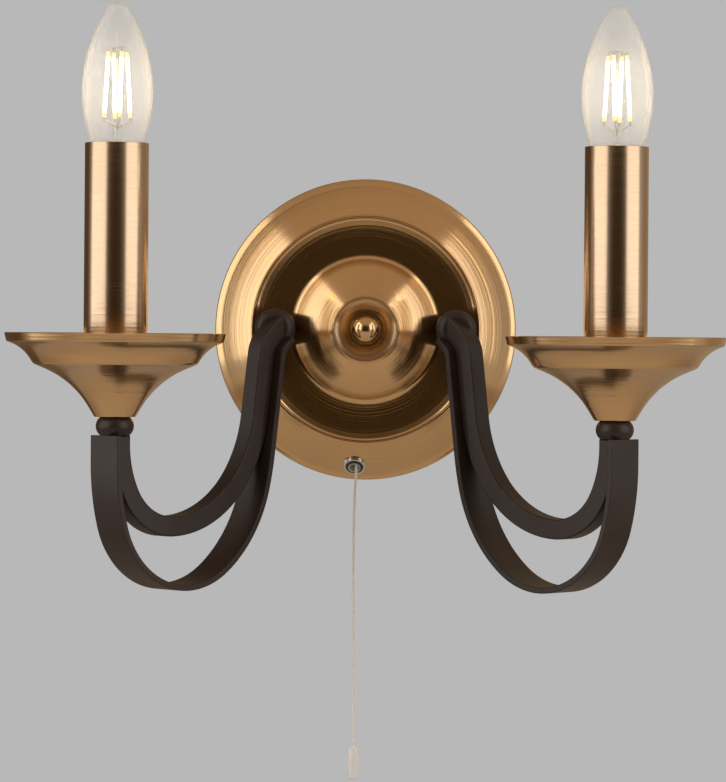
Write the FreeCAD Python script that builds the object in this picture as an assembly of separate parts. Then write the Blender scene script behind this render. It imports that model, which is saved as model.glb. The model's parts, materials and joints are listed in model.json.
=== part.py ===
import FreeCAD, Part
import math
import os

# Double arm wall sconce, in millimetres and degrees.
# X is to the right, Y is into the wall, Z is up. The wall is the plane Y = 0, and the origin is
# the middle of the backplate on it. Depth is measured from the wall towards the room, so it is -Y.

Vec = FreeCAD.Vector
ORIGIN = Vec(0, 0, 0)
X_AXIS = Vec(1, 0, 0)
Y_AXIS = Vec(0, 1, 0)
Z_AXIS = Vec(0, 0, 1)
TO_ROOM = Vec(0, -1, 0)

# ---------------------------------------------------------------- driving dimensions

# Clearances
thread_clearance = 0.05
running_clearance = 0.06
hole_clearance = 0.1
loose_gap = 0.3

# Backplate, a spun sheet
plate_radius = 77.5
plate_sheet = 1.0
rim_height = 3.0
rim_round = 1.6
rim_land = 0.15
annulus_radius = 57.8
annulus_depth = 22.0
dish_radius = 47.0
dish_sink = 1.5
dome_foot_radius = 36.8
dome_sphere_radius = 46.2
dome_foot_round = 3.0
cap_edge_round = 20.0
cap_radius = 16.2
cap_sink = 2.0
cap_floor_radius = 9.0
plate_bead_radius = 0.9

# Wall bracket and its stud
bracket_sheet = 1.5
bracket_width = 20.0
bracket_rise = 9.5
bracket_top_half = 25.0
bracket_half_length = 52.0
slot_spacing = 78.0
slot_length = 12.0
slot_width = 4.6
stud_radius = 3.0
stud_back_depth = 4.5
stud_nut_height = 3.2
stud_nut_flats = 10.0
earth_offset = 17.0
earth_screw_radius = 2.0
earth_head_radius = 3.8
earth_head_height = 2.4
earth_screw_length = 6.5

# Finial nut
finial_radius = 7.1
finial_collar_radius = 5.7
finial_collar_height = 1.6
finial_bore_margin = 1.5
finial_undercut_angle = 38.0
finial_engagement = 8.0

# Arms: a round boss on the plate, a square tube and a flat strip welded to it
arm_angle = 45.0
boss_offset = 46.0
boss_radius = 10.3
boss_length = 14.5
boss_round = 5.0
boss_wall = 4.0
boss_pocket_margin = 0.6
entry_height = 12.0
entry_drop = 0.2
arm_span = 106.8
arm_top = -52.7
tube_side = 10.0
tube_wall = 1.0
tube_edge_round = 0.8
tube_shift = 1.0
strip_width = 20.0
strip_thickness = 3.0
strip_edge_round = 0.5
tube_drop = 45.2
strip_drop = 75.4

# Bends of the two bars: headings in the arm's plane, 0 towards the boss and -90 straight down
end_heading = 40.0
rise_heading = 82.0
end_run = 6.5
end_bend_radius = 13.0
tube_overrun = 4.5
tube_neck_run = 4.0
tube_neck_radius = 53.0
tube_neck_heading = -62.0
tube_belly_heading = 54.0
tube_rise_run = 32.0
strip_neck_run = 13.0
strip_neck_radius = 113.5
strip_neck_heading = -74.0
strip_belly_heading = 35.0
strip_flank_heading = 75.0
strip_flank_radius = 148.5
strip_rise_run = 50.0

# Hollow threaded studs and their nuts
pipe_radius = 5.0
pipe_bore_radius = 3.5
pipe_nut_flats = 14.0
pipe_nut_height = 3.5
boss_thread_length = 9.0
boss_washer_radius = 8.5
boss_washer_height = 1.0
boss_stud_stickout = 1.5

# Neck bead and drip pan
bead_height = 9.0
bead_radius = 9.3
bead_seat_radius = 7.0
pan_sheet = 1.0
pan_depth = 40.6
pan_rim_radius = 53.9
pan_rim_foot_radius = 52.9
pan_rim_height = 4.0
ring_corner_radius = 44.9
ring_corner_depth = 6.9
ring_round = 19.0
ledge_radius = 40.4
ledge_depth = 14.1
ledge_step = 0.9
funnel_corner_radius = 20.6
funnel_corner_depth = 23.0
funnel_round = 45.0
funnel_foot_radius = 10.0

# Candle sleeve and lampholder
sleeve_radius = 15.55
sleeve_wall = 0.7
sleeve_length = 122.6
holder_radius = 12.9
holder_base_below_sleeve_top = 66.57
holder_top_below_sleeve_top = 15.27
holder_floor = 9.0
holder_chamber_radius = 10.5
holder_chamber_height = 12.0
holder_pipe_length = 7.0
shell_wall = 0.6
shell_length = 25.0
contact_radius = 2.6
contact_height = 1.6
contact_leg_height = 5.0
contact_leg_radius = 1.2
shell_recess = 1.0
cable_start_height = 1.0

# Bulb: candle shaped glass on a small screw cap, 14 mm across
cap_thread_radius = 6.9
cap_wall = 0.4
cap_thread_length = 16.0
cap_collar_radius = 8.2
cap_collar_height = 2.6
cap_insulator_height = 3.0
cap_insulator_radius = 4.6
cap_button_radius = 2.4
cap_button_height = 1.4
cap_groove_count = 5
cap_groove_pitch = 2.8
cap_groove_start = 2.0
cap_groove_depth = 0.15
cap_groove_radius = 0.55
cap_collar_edge = 1.0
glass_wall = 0.8
glass_neck_radius = 8.2
glass_neck_heading = 66.4
glass_neck_run = 8.7
glass_lower_radius = 70.0
glass_upper_radius = 76.0
glass_tip_heading = 120.0
glass_tip_run = 3.8
stem_radius = 3.2
stem_flare_height = 1.2
stem_waist_height = 5.0
stem_waist_round = 2.0
stem_height = 20.5
stem_tip_radius = 1.6
filament_radius = 0.85
filament_length = 32.0
filament_foot_circle = 6.4
filament_head_circle = 4.9
filament_count = 4
filament_start = 24.0
filament_first_angle = 14.0
filament_twist = 14.0
wire_radius = 0.3
wire_foot_depth = 0.6
post_height = 59.0

# Cable in each arm and leads behind the plate
cable_radius = 2.0
lead_radius = 1.1
cable_turn_depth = 5.2
cable_turn_radius = 5.0
cable_side_run = 12.0
cable_under_bracket = 3.5
cable_rise = 1.0
cable_side_radius = 7.0
cable_end_radius = 3.6
cable_into_block = 1.9
lead_run = 4.0
lead_end_run = 4.5
lead_turn_radius = 2.4
lead_into_block = 1.7

# Terminal block
tab_half_width = 17.0
tab_drop = 26.0
block_half_width = 15.5
block_base_height = 3.0
block_height = 10.0
block_length = 13.0
block_top_below_centre = 20.0
way_pitch = 10.0
way_width = 8.4
insert_radius = 2.9
insert_bore_radius = 2.1
insert_length = 11.0
insert_floor = 0.4
terminal_screw_recess = 1.0
terminal_screw_radius = 1.4
terminal_screw_pitch = 6.0

# Pull switch behind the flange
switch_angle = 4.2
switch_radius = 69.5
bush_radius = 4.3
bush_bore_radius = 3.3
bush_stickout = 2.6
ring_nut_radius = 6.0
ring_nut_height = 2.1
ring_nut_bevel = 0.7
liner_radius = 3.2
liner_wall = 0.5
liner_throat_radius = 1.8
liner_stickout = 3.0
liner_flare_length = 4.3
liner_flare_bulge = 0.1
housing_gap = 1.0
housing_wall = 1.2
housing_half_width = 9.0
housing_inner_radius = 47.0
housing_back_depth = 2.0
housing_front_gap = 1.0
lid_thickness = 1.2
lid_screw_radius = 0.9
lid_screw_head_radius = 1.7
lid_screw_head_height = 1.0
lid_post_radius = 2.2
lid_post_inset = 1.5
lid_screw_length = 7.0
cord_travel = 4.5
lever_arm = 12.0
lever_rest_reach = 9.0
lever_width = 4.0
lever_thickness = 1.5
lever_hub_radius = 2.6
lever_pin_radius = 1.0
spring_radius = 2.0
spring_wall = 0.5
spring_length = 3.2
switch_contact_width = 3.0
switch_contact_height = 6.0
switch_contact_thickness = 1.6
switch_contact_spacing = 9.0
switch_contact_shift = 1.0
switch_contact_stickout = 1.5
switch_hole_length = 8.0
inner_cord_top = 2.0
inner_cord_gap = 0.6

# Pull cord
cord_radius = 0.7
cord_depth = 12.1
cord_side = 0.9
cord_start = 0.1
cord_neck_length = 3.8
cord_joint_gap = 0.5
cord_length = 139.5
cord_runs = (8.0, 11.0, 17.0, 29.0)
cord_sways = (-0.65, -0.35, -0.15, 0.05)
cord_end_sway = 0.75
pull_length = 17.5
pull_neck_length = 3.2
pull_neck_radius = 1.7
pull_top_radius = 3.05
pull_bottom_radius = 2.35
pull_round = 0.8
pull_shoulder_height = 1.2
pull_shoulder_round = 0.4
pull_neck_round = 0.5

TINY = 1e-6
SAME = 1e-4
HALF_CIRCLE = math.degrees(math.pi)


# ---------------------------------------------------------------- general helpers

def sine(angle):
    return math.sin(math.radians(angle))


def cosine(angle):
    return math.cos(math.radians(angle))


def save(name, *solids):
    """Write one node; several solids in one node stay separate solids."""
    shape = solids[0] if len(solids) == 1 else Part.makeCompound(list(solids))
    shape.exportStep(os.path.join("parts", name + ".step"))


def rod(radius, length, base, direction=Z_AXIS):
    return Part.makeCylinder(radius, length, base, direction)


def pipe(outer, inner, length, base, direction=Z_AXIS):
    return rod(outer, length, base, direction).cut(rod(inner, length, base, direction))


def box(low, high):
    """Box between two opposite corners."""
    size = high - low
    return Part.makeBox(size.x, size.y, size.z, low)


def hex_nut(flats, height, bore, base, direction=Z_AXIS):
    """Six-sided nut that stands on base."""
    corner = flats / 2 / cosine(30)
    ring = [Vec(corner * cosine(60 * side), corner * sine(60 * side), 0) for side in range(7)]
    nut = Part.Face(Part.makePolygon(ring)).extrude(Z_AXIS * height)
    nut = nut.cut(rod(bore, height, ORIGIN))
    nut.Placement = FreeCAD.Placement(base, FreeCAD.Rotation(Z_AXIS, direction))
    return nut


def corner_arc(before, corner, after, radius):
    """Tangent arc at a corner of a route: the arc, or None, and its two ends."""
    arriving = (corner - before).normalize()
    leaving = (after - corner).normalize()
    turn = arriving.getAngle(leaving)
    if radius < TINY or turn < TINY:
        return None, corner, corner
    reach = radius * math.tan(turn / 2)
    entry = corner - arriving * reach
    leave = corner + leaving * reach
    inward = (leaving - arriving).normalize()
    middle = corner + inward * (radius / math.cos(turn / 2) - radius)
    return Part.Arc(entry, middle, leave).toShape(), entry, leave


def route_edges(points, radii):
    """Straight runs through the points, with a tangent arc of the given radius at each corner."""
    edges = []
    start = points[0]
    for before, corner, after, radius in zip(points, points[1:], points[2:], radii):
        arc, entry, leave = corner_arc(before, corner, after, radius)
        if (entry - start).Length > TINY:
            edges.append(Part.makeLine(start, entry))
        if arc is not None:
            edges.append(arc)
        start = leave
    if (points[-1] - start).Length > TINY:
        edges.append(Part.makeLine(start, points[-1]))
    return edges


def tube_along(points, radii, radius):
    """Round solid of the given radius that follows a route."""
    spine = Part.Wire(route_edges(points, radii))
    direction = (points[1] - points[0]).normalize()
    section = Part.Wire([Part.makeCircle(radius, points[0], direction)])
    return spine.makePipeShell([section], True, False)


def revolved(points, radii, axis=Z_AXIS):
    """Solid of revolution about an axis through the origin, from a closed outline of corners."""
    closed = list(points) + [points[0]]
    outline = Part.Wire(route_edges(closed, list(radii)))
    return Part.Face(outline).revolve(ORIGIN, axis, 360)


def moved(shape, offset):
    copy = shape.copy()
    copy.translate(offset)
    return copy


def mirrored(shape):
    """The same piece on the other side of the middle plane."""
    return shape.mirror(ORIGIN, X_AXIS)


class Bend:
    """A flat path of straight runs and arcs, each tangent to the last.

    The path lies in a plane whose coordinates are u and v. A heading of 0 is along u.
    """

    def __init__(self, u, v, heading):
        self.u = u
        self.v = v
        self.heading = heading
        self.pieces = []

    def run(self, length):
        start = (self.u, self.v, self.heading)
        self.u += length * cosine(self.heading)
        self.v += length * sine(self.heading)
        self.pieces.append([start, (self.u, self.v, self.heading)])
        return self

    def turn(self, radius, heading):
        """Arc of the given radius to a new heading; a larger heading is a left turn."""
        stops = [(self.u, self.v, self.heading)]
        side = radius if heading > self.heading else -radius
        first = self.heading
        for angle in ((first + heading) / 2, heading):
            u = self.u + side * (sine(angle) - sine(first))
            v = self.v + side * (cosine(first) - cosine(angle))
            stops.append((u, v, angle))
        self.u, self.v, self.heading = stops[-1]
        self.pieces.append(stops)
        return self

    def edges(self, offset, place):
        """Edges of the path moved to its left by offset; place turns u, v into a point."""
        result = []
        for stops in self.pieces:
            points = [place(u - offset * sine(h), v + offset * cosine(h)) for u, v, h in stops]
            if len(points) == 2:
                result.append(Part.makeLine(points[0], points[1]))
            else:
                result.append(Part.Arc(points[0], points[1], points[2]).toShape())
        return result

    def band(self, left, right, place):
        """Face between the path moved left by left and by right."""
        near = self.edges(left, place)
        far = self.edges(right, place)
        ends = [Part.makeLine(near[0].Vertexes[0].Point, far[0].Vertexes[0].Point),
                Part.makeLine(near[-1].Vertexes[-1].Point, far[-1].Vertexes[-1].Point)]
        return Part.Face(Part.Wire(Part.__sortEdges__(near + far + ends)))


def arc_share(first, last):
    """How far an arc of radius 1 between two headings goes along u and v, on a left turn."""
    return sine(last) - sine(first), cosine(first) - cosine(last)


def two_radii(du, dv, first, middle, last):
    """Radii of two arcs, first to middle and middle to last, that together go du along and dv up."""
    a_u, a_v = arc_share(first, middle)
    b_u, b_v = arc_share(middle, last)
    area = a_u * b_v - b_u * a_v
    return (du * b_v - b_u * dv) / area, (a_u * dv - a_v * du) / area


# ---------------------------------------------------------------- places worked out from the sizes

def sphere_rise(radius):
    return math.sqrt(dome_sphere_radius ** 2 - radius ** 2)


flange_foot_radius = plate_radius - rim_round - rim_land
dish_depth = annulus_depth - dish_sink
cap_depth = dish_depth + sphere_rise(cap_radius) - sphere_rise(dome_foot_radius)
cap_floor_depth = cap_depth - cap_sink
boss_entry_depth = dish_depth + entry_height
candle_x = boss_offset + arm_span * cosine(arm_angle)
candle_depth = boss_entry_depth + arm_span * sine(arm_angle)
candle_foot = Vec(-candle_x, -candle_depth, 0)

pan_floor = arm_top + bead_height
pan_rim_top = pan_floor + pan_depth


def plate_point(radius, depth):
    return Vec(radius, -depth, 0)


def pan_point(radius, depth):
    """Point of the pan's outline, by its depth below the rim."""
    return Vec(radius, 0, pan_rim_top - depth)


def funnel_seat(radius):
    """Height at which a tube of this radius stands on the inner face of the funnel."""
    foot = pan_point(funnel_foot_radius, pan_depth)
    corner = pan_point(funnel_corner_radius, funnel_corner_depth)
    ledge = pan_point(ledge_radius - ledge_step, ledge_depth + ledge_step)
    arc, entry, leave = corner_arc(foot, corner, ledge, funnel_round)
    middle = arc.Curve.Center
    inner_entry = middle + (entry - middle) * (1 + pan_sheet / funnel_round)
    if radius < inner_entry.x:
        slope = (corner.z - foot.z) / (corner.x - foot.x)
        return inner_entry.z - (inner_entry.x - radius) * slope
    reach = funnel_round + pan_sheet
    return middle.z + math.sqrt(reach ** 2 - (middle.x - radius) ** 2)


sleeve_foot = funnel_seat(sleeve_radius + thread_clearance)
sleeve_top = sleeve_foot + sleeve_length
holder_base = sleeve_top - holder_base_below_sleeve_top
holder_top = sleeve_top - holder_top_below_sleeve_top
shell_bore_radius = cap_thread_radius + running_clearance
shell_radius = shell_bore_radius + shell_wall
shell_top = holder_top - shell_recess
shell_foot = shell_top - shell_length
contact_top = shell_foot + contact_leg_height + contact_height
pipe_top = holder_base + holder_pipe_length

# The bulb stands on the centre contact of its lampholder.
cap_foot = contact_top
insulator_foot = cap_foot + cap_button_height
thread_foot = insulator_foot + cap_insulator_height
thread_top = thread_foot + cap_thread_length
glass_foot = thread_top + cap_collar_height


# ---------------------------------------------------------------- backplate and what holds it

def plate_outline():
    """Outer face of the plate, from its rim to the stud hole: flange, dished ring, dome, cap."""
    foot = plate_point(plate_radius, 0)
    rim = plate_point(plate_radius, rim_height + rim_round)
    step = plate_point(flange_foot_radius, rim_height + rim_round)
    shoulder = plate_point(annulus_radius, annulus_depth)
    flange = route_edges([foot, rim, step, shoulder], [rim_round, 0])

    dish_width = annulus_radius - dish_radius
    dish_curve = (dish_width ** 2 + dish_sink ** 2) / (2 * dish_sink)
    dish_middle = dish_depth + dish_curve - math.sqrt(dish_curve ** 2 - dish_width ** 2 / 4)
    dish_foot = plate_point(dish_radius, dish_depth)
    dish = Part.Arc(shoulder, plate_point(dish_radius + dish_width / 2, dish_middle), dish_foot).toShape()

    sphere_depth = dish_depth - sphere_rise(dome_foot_radius)
    cove_reach = dome_sphere_radius + dome_foot_round
    cove_depth = dish_depth + dome_foot_round
    cove_radius = math.sqrt(cove_reach ** 2 - (cove_depth - sphere_depth) ** 2)
    share = dome_sphere_radius / cove_reach
    dome_foot = (cove_radius * share, sphere_depth + (cove_depth - sphere_depth) * share)
    cove_half = (90 - math.degrees(math.acos(cove_radius / cove_reach))) / 2
    cove_middle = plate_point(cove_radius - dome_foot_round * sine(cove_half),
                              cove_depth - dome_foot_round * cosine(cove_half))
    cove_foot = plate_point(cove_radius, dish_depth)
    cove = Part.Arc(cove_foot, cove_middle, plate_point(*dome_foot)).toShape()

    middle_radius = (dome_foot[0] + cap_radius) / 2
    dome_middle = plate_point(middle_radius, sphere_depth + sphere_rise(middle_radius))
    dome_top = plate_point(cap_radius, cap_depth)
    dome = Part.Arc(plate_point(*dome_foot), dome_middle, dome_top).toShape()
    cap = route_edges([dome_top, plate_point(cap_floor_radius, cap_floor_depth),
                       plate_point(stud_radius + hole_clearance, cap_floor_depth)], [cap_edge_round])
    return Part.Wire(flange + [dish, Part.makeLine(dish_foot, cove_foot), cove, dome] + cap)


def make_plate_core():
    """All that lies behind the plate's outer face, to shape the foot of each boss."""
    outline = plate_outline()
    inner = outline.Vertexes[-1].Point
    closing = Part.makePolygon([inner, Vec(0, inner.y, 0), ORIGIN, plate_point(plate_radius, 0)])
    return Part.Face(Part.Wire(outline.Edges + closing.Edges)).revolve(ORIGIN, Y_AXIS, 360)


def make_backplate(switch):
    """Spun plate: rim, sloped flange, flat ring, dome and a dished cap, with two beads."""
    section = plate_outline().makeOffset2D(plate_sheet, 2, True, True)
    plate = section.revolve(ORIGIN, Y_AXIS, 360)
    for radius, depth in ((annulus_radius, annulus_depth), (cap_radius, cap_depth)):
        ring = Part.makeTorus(radius, plate_bead_radius, Vec(0, -depth, 0), Y_AXIS)
        plate = plate.fuse(ring)
    for side in (-1, 1):
        hole = rod(pipe_radius + hole_clearance, annulus_depth, Vec(side * boss_offset, 0, 0), TO_ROOM)
        plate = plate.cut(hole)
    switch_hole = rod(bush_radius + hole_clearance, switch_hole_length, switch.at(-switch_hole_length / 2),
                      switch.normal)
    return plate.cut(switch_hole).removeSplitter()


def make_bracket():
    """Hat-shaped strap with a slot in each foot and a tab for the terminal block."""
    half = bracket_width / 2
    top = bracket_rise
    inside = bracket_top_half - bracket_sheet
    side = [(0, top - bracket_sheet), (inside, top - bracket_sheet), (inside, 0), (bracket_half_length, 0),
            (bracket_half_length, bracket_sheet), (bracket_top_half, bracket_sheet),
            (bracket_top_half, top), (0, top)]
    outline = [Vec(x, -depth, -half) for x, depth in side + [side[0]]]
    arm = Part.Face(Part.makePolygon(outline)).extrude(Z_AXIS * bracket_width)
    strap = arm.fuse(mirrored(arm)).removeSplitter()
    tab = box(Vec(-tab_half_width, -top, -half - tab_drop), Vec(tab_half_width, bracket_sheet - top, -half))
    strap = strap.fuse(tab).removeSplitter()
    strap = strap.cut(rod(stud_radius + thread_clearance, top, ORIGIN, TO_ROOM))
    strap = strap.cut(rod(earth_screw_radius + thread_clearance, top, Vec(earth_offset, 0, 0), TO_ROOM))
    straight = slot_length - slot_width
    for side_sign in (-1, 1):
        middle = side_sign * slot_spacing / 2
        cutter = box(Vec(middle - straight / 2, -bracket_sheet, -slot_width / 2),
                     Vec(middle + straight / 2, 0, slot_width / 2))
        for end in (-straight / 2, straight / 2):
            round_end = rod(slot_width / 2, bracket_sheet, Vec(middle + end, 0, 0), TO_ROOM)
            cutter = cutter.fuse(round_end)
        strap = strap.cut(cutter)
    return strap.removeSplitter()


def make_centre_fixings():
    stud_top = cap_floor_depth + finial_collar_height + finial_engagement
    stud = rod(stud_radius, stud_top - stud_back_depth, Vec(0, -stud_back_depth, 0), TO_ROOM)
    save("centre_stud", stud)
    behind = bracket_rise - bracket_sheet - stud_nut_height
    bore = stud_radius + thread_clearance
    nuts = [hex_nut(stud_nut_flats, stud_nut_height, bore, Vec(0, -depth, 0), TO_ROOM)
            for depth in (behind, bracket_rise)]
    save("stud_locknuts", *nuts)

    ball_depth = cap_floor_depth + finial_collar_height + finial_radius * cosine(finial_undercut_angle)
    ball = Part.makeSphere(finial_radius, Vec(0, -ball_depth, 0))
    collar = rod(finial_collar_radius, finial_collar_height + 1.5, Vec(0, -cap_floor_depth, 0), TO_ROOM)
    seat_side = box(Vec(-finial_radius, -cap_floor_depth, -finial_radius),
                    Vec(finial_radius, 0, finial_radius))
    finial = ball.fuse(collar).cut(seat_side)
    bore_length = finial_collar_height + finial_engagement + finial_bore_margin
    finial_bore = rod(bore, bore_length, Vec(0, -cap_floor_depth, 0), TO_ROOM)
    save("finial_nut", finial.cut(finial_bore).removeSplitter())

    earth_base = Vec(earth_offset, -bracket_rise, 0)
    head = rod(earth_head_radius, earth_head_height, earth_base, TO_ROOM)
    shank = rod(earth_screw_radius, earth_screw_length, earth_base, Y_AXIS)
    save("earth_screw", shank.fuse(head).removeSplitter())


def make_terminal_block():
    """Three-way connector on the bracket's tab, with brass inserts and two screws in each."""
    top = -block_top_below_centre
    bottom = top - block_length
    back = bracket_rise
    front = back + block_height
    insert_depth = back + block_base_height + insert_radius + insert_floor
    body = box(Vec(-block_half_width, -back - block_base_height, bottom), Vec(block_half_width, -back, top))
    inserts = []
    screws = []
    for way in (-1, 0, 1):
        x = way * way_pitch
        body = body.fuse(box(Vec(x - way_width / 2, -front, bottom), Vec(x + way_width / 2, -back, top)))
    for way in (-1, 0, 1):
        x = way * way_pitch
        body = body.cut(rod(insert_radius, block_length, Vec(x, -insert_depth, bottom)))
        insert_foot = Vec(x, -insert_depth, (top + bottom - insert_length) / 2)
        insert = pipe(insert_radius, insert_bore_radius, insert_length, insert_foot)
        for place in (-1, 1):
            z = (top + bottom) / 2 + place * terminal_screw_pitch / 2
            axis_point = Vec(x, -insert_depth, z)
            body = body.cut(rod(terminal_screw_radius + thread_clearance, block_height, axis_point, TO_ROOM))
            insert = insert.cut(rod(terminal_screw_radius + thread_clearance, insert_radius, axis_point,
                                    TO_ROOM))
            screw_length = front - insert_depth - terminal_screw_recess
            screws.append(rod(terminal_screw_radius, screw_length, axis_point, TO_ROOM))
        inserts.append(insert)
    save("terminal_block", body.removeSplitter())
    save("terminal_inserts", *inserts)
    save("terminal_screws", *screws)
    return Vec(way_pitch, -insert_depth, top), bottom


# ---------------------------------------------------------------- one arm, on the left

def arm_point(u, v, across=0.0):
    """Point in the arm's plane: u from the candle's axis towards the boss, v up, across to the front."""
    along = Vec(cosine(arm_angle), sine(arm_angle), 0)
    front = Vec(sine(arm_angle), -cosine(arm_angle), 0)
    return candle_foot + along * u + front * across + Z_AXIS * v


def shared_end(offset):
    """Where the rising straight of a bar ends, with the bar's middle this far below the tube's."""
    u = arm_span - end_run * cosine(end_heading)
    v = -entry_drop - end_run * sine(end_heading)
    share_u, share_v = arc_share(rise_heading, end_heading)
    u += end_bend_radius * share_u
    v += end_bend_radius * share_v
    return u + offset * sine(rise_heading), v - offset * cosine(rise_heading)


def bar_path(start_u, offset, drop, neck_run, neck_radius, neck_heading, belly_heading, last_heading,
             rise_run, overrun=0.0, flank_radius=0.0):
    """Middle line of a bar: down from the neck, round the belly, up into the boss and past its axis."""
    share_neck = arc_share(-90, neck_heading)
    share_bottom = arc_share(neck_heading, 0)
    rest_of_drop = -drop + neck_run - neck_radius * share_neck[1]
    bottom_radius = rest_of_drop / share_bottom[1]
    path = Bend(start_u, arm_top, -90)
    path.run(neck_run).turn(neck_radius, neck_heading).turn(bottom_radius, 0)

    end_u, end_v = shared_end(offset)
    flank = arc_share(last_heading, rise_heading)
    to_u = end_u - rise_run * cosine(rise_heading) - flank_radius * flank[0]
    to_v = end_v - rise_run * sine(rise_heading) - flank_radius * flank[1]
    belly, upper = two_radii(to_u - path.u, to_v - path.v, 0, belly_heading, last_heading)
    path.turn(belly, belly_heading).turn(upper, last_heading)
    if flank_radius > 0:
        path.turn(flank_radius, rise_heading)
    path.run(rise_run).turn(end_bend_radius - offset, end_heading).run(end_run + overrun)
    return path


def tube_path(overrun=0.0):
    return bar_path(tube_shift, 0.0, tube_drop, tube_neck_run, tube_neck_radius, tube_neck_heading,
                    tube_belly_heading, rise_heading, tube_rise_run, overrun)


def strip_path():
    offset = (tube_side + strip_thickness) / 2
    start = tube_shift - offset
    return bar_path(start, offset, strip_drop, strip_neck_run, strip_neck_radius, strip_neck_heading,
                    strip_belly_heading, strip_flank_heading, strip_rise_run,
                    flank_radius=strip_flank_radius)


def bar_solid(path, thickness, width):
    """Flat bar that follows a path in the arm's plane."""
    half = thickness / 2
    face = path.band(half, -half, lambda u, v: arm_point(u, v, -width / 2))
    return face.extrude((arm_point(0, 0, width) - arm_point(0, 0)))


def soften(bar, width, radius):
    """Round the long edges of a bar, those on its two flat sides."""
    front = Vec(sine(arm_angle), -cosine(arm_angle), 0)
    long_edges = []
    for edge in bar.Edges:
        distances = [abs((vertex.Point - candle_foot).dot(front)) for vertex in edge.Vertexes]
        lies_on_side = all(abs(distance - width / 2) < SAME for distance in distances)
        if lies_on_side and not closes_end(bar, edge):
            long_edges.append(edge)
    return bar.makeFillet(radius, long_edges)


def closes_end(bar, edge):
    """Whether an edge is the side of one of the bar's two end faces, which are its smallest."""
    ends = sorted(bar.Faces, key=lambda face: face.Area)[:2]
    return any(side.isSame(edge) for face in ends for side in face.Edges)


def make_boss():
    """Solid knuckle on the plate, with a rounded front."""
    base = Vec(-boss_offset, -dish_depth, 0)
    knuckle = rod(boss_radius, boss_length, base, TO_ROOM)
    front_edges = [edge for edge in knuckle.Edges
                   if edge.Curve.TypeId == "Part::GeomCircle"
                   and abs(edge.Curve.Center.y + dish_depth + boss_length) < TINY]
    return knuckle.makeFillet(boss_round, front_edges)


def make_arm(pieces):
    """Boss, square tube and flat strip; the bars are coped to the boss and welded to it."""
    solid_boss = make_boss().cut(make_plate_core())
    tube = bar_solid(tube_path(tube_overrun), tube_side, tube_side)
    tube = soften(tube, tube_side, tube_edge_round)
    bore_side = tube_side - 2 * tube_wall
    bore = bar_solid(tube_path(), bore_side, bore_side)
    strip = soften(bar_solid(strip_path(), strip_thickness, strip_width), strip_width, strip_edge_round)
    pieces["arm_tube"] = largest(tube.cut(bore).cut(solid_boss))
    pieces["arm_strip"] = largest(strip.cut(solid_boss))

    entry = arm_point(arm_span, -entry_drop)
    thread = rod(pipe_radius + thread_clearance, boss_thread_length,
                 Vec(-boss_offset, -dish_depth, 0), TO_ROOM)
    hollow = rod(pipe_bore_radius, boss_length - boss_wall, Vec(-boss_offset, -dish_depth, 0), TO_ROOM)
    pocket = Part.makeSphere(bore_side / 2 + boss_pocket_margin, entry)
    pieces["arm_boss"] = solid_boss.cut(thread).cut(hollow).cut(bore).cut(pocket).removeSplitter()

    back_stickout = plate_sheet + boss_washer_height + pipe_nut_height + boss_stud_stickout
    stud_back = dish_depth - back_stickout
    pieces["boss_nipple"] = pipe(pipe_radius, pipe_bore_radius, back_stickout + boss_thread_length,
                                 Vec(-boss_offset, -stud_back, 0), TO_ROOM)


def largest(shape):
    return max(shape.Solids, key=lambda solid: solid.Volume)


def make_boss_fixings():
    washers = []
    nuts = []
    for side in (-1, 1):
        washer_base = Vec(side * boss_offset, plate_sheet - dish_depth, 0)
        washers.append(pipe(boss_washer_radius, pipe_radius + hole_clearance, boss_washer_height,
                            washer_base, Y_AXIS))
        nut_base = washer_base + Y_AXIS * boss_washer_height
        nuts.append(hex_nut(pipe_nut_flats, pipe_nut_height, pipe_radius + thread_clearance, nut_base,
                            Y_AXIS))
    save("boss_washers", *washers)
    return nuts


# ---------------------------------------------------------------- one candle, on its own axis

def make_pan():
    outline = [pan_point(pan_rim_radius, 0), pan_point(pan_rim_foot_radius, pan_rim_height),
               pan_point(ring_corner_radius, ring_corner_depth), pan_point(ledge_radius, ledge_depth),
               pan_point(ledge_radius - ledge_step, ledge_depth + ledge_step),
               pan_point(funnel_corner_radius, funnel_corner_depth), pan_point(funnel_foot_radius, pan_depth),
               pan_point(pipe_radius + hole_clearance, pan_depth)]
    outer = Part.Wire(route_edges(outline, [0, ring_round, 0, 0, funnel_round, 0]))
    section = outer.makeOffset2D(-pan_sheet, 2, True, True)
    return section.revolve(ORIGIN, Z_AXIS, 360)


def make_neck_bead():
    bore = pipe_radius + thread_clearance
    middle = arm_top + bead_height / 2
    foot = Vec(bead_seat_radius, 0, arm_top)
    head = Vec(bead_seat_radius, 0, pan_floor)
    side = Part.Arc(foot, Vec(bead_radius, 0, middle), head).toShape()
    inner = Part.makePolygon([head, Vec(bore, 0, pan_floor), Vec(bore, 0, arm_top), foot])
    return Part.Face(Part.Wire([side] + inner.Edges)).revolve(ORIGIN, Z_AXIS, 360)


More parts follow.
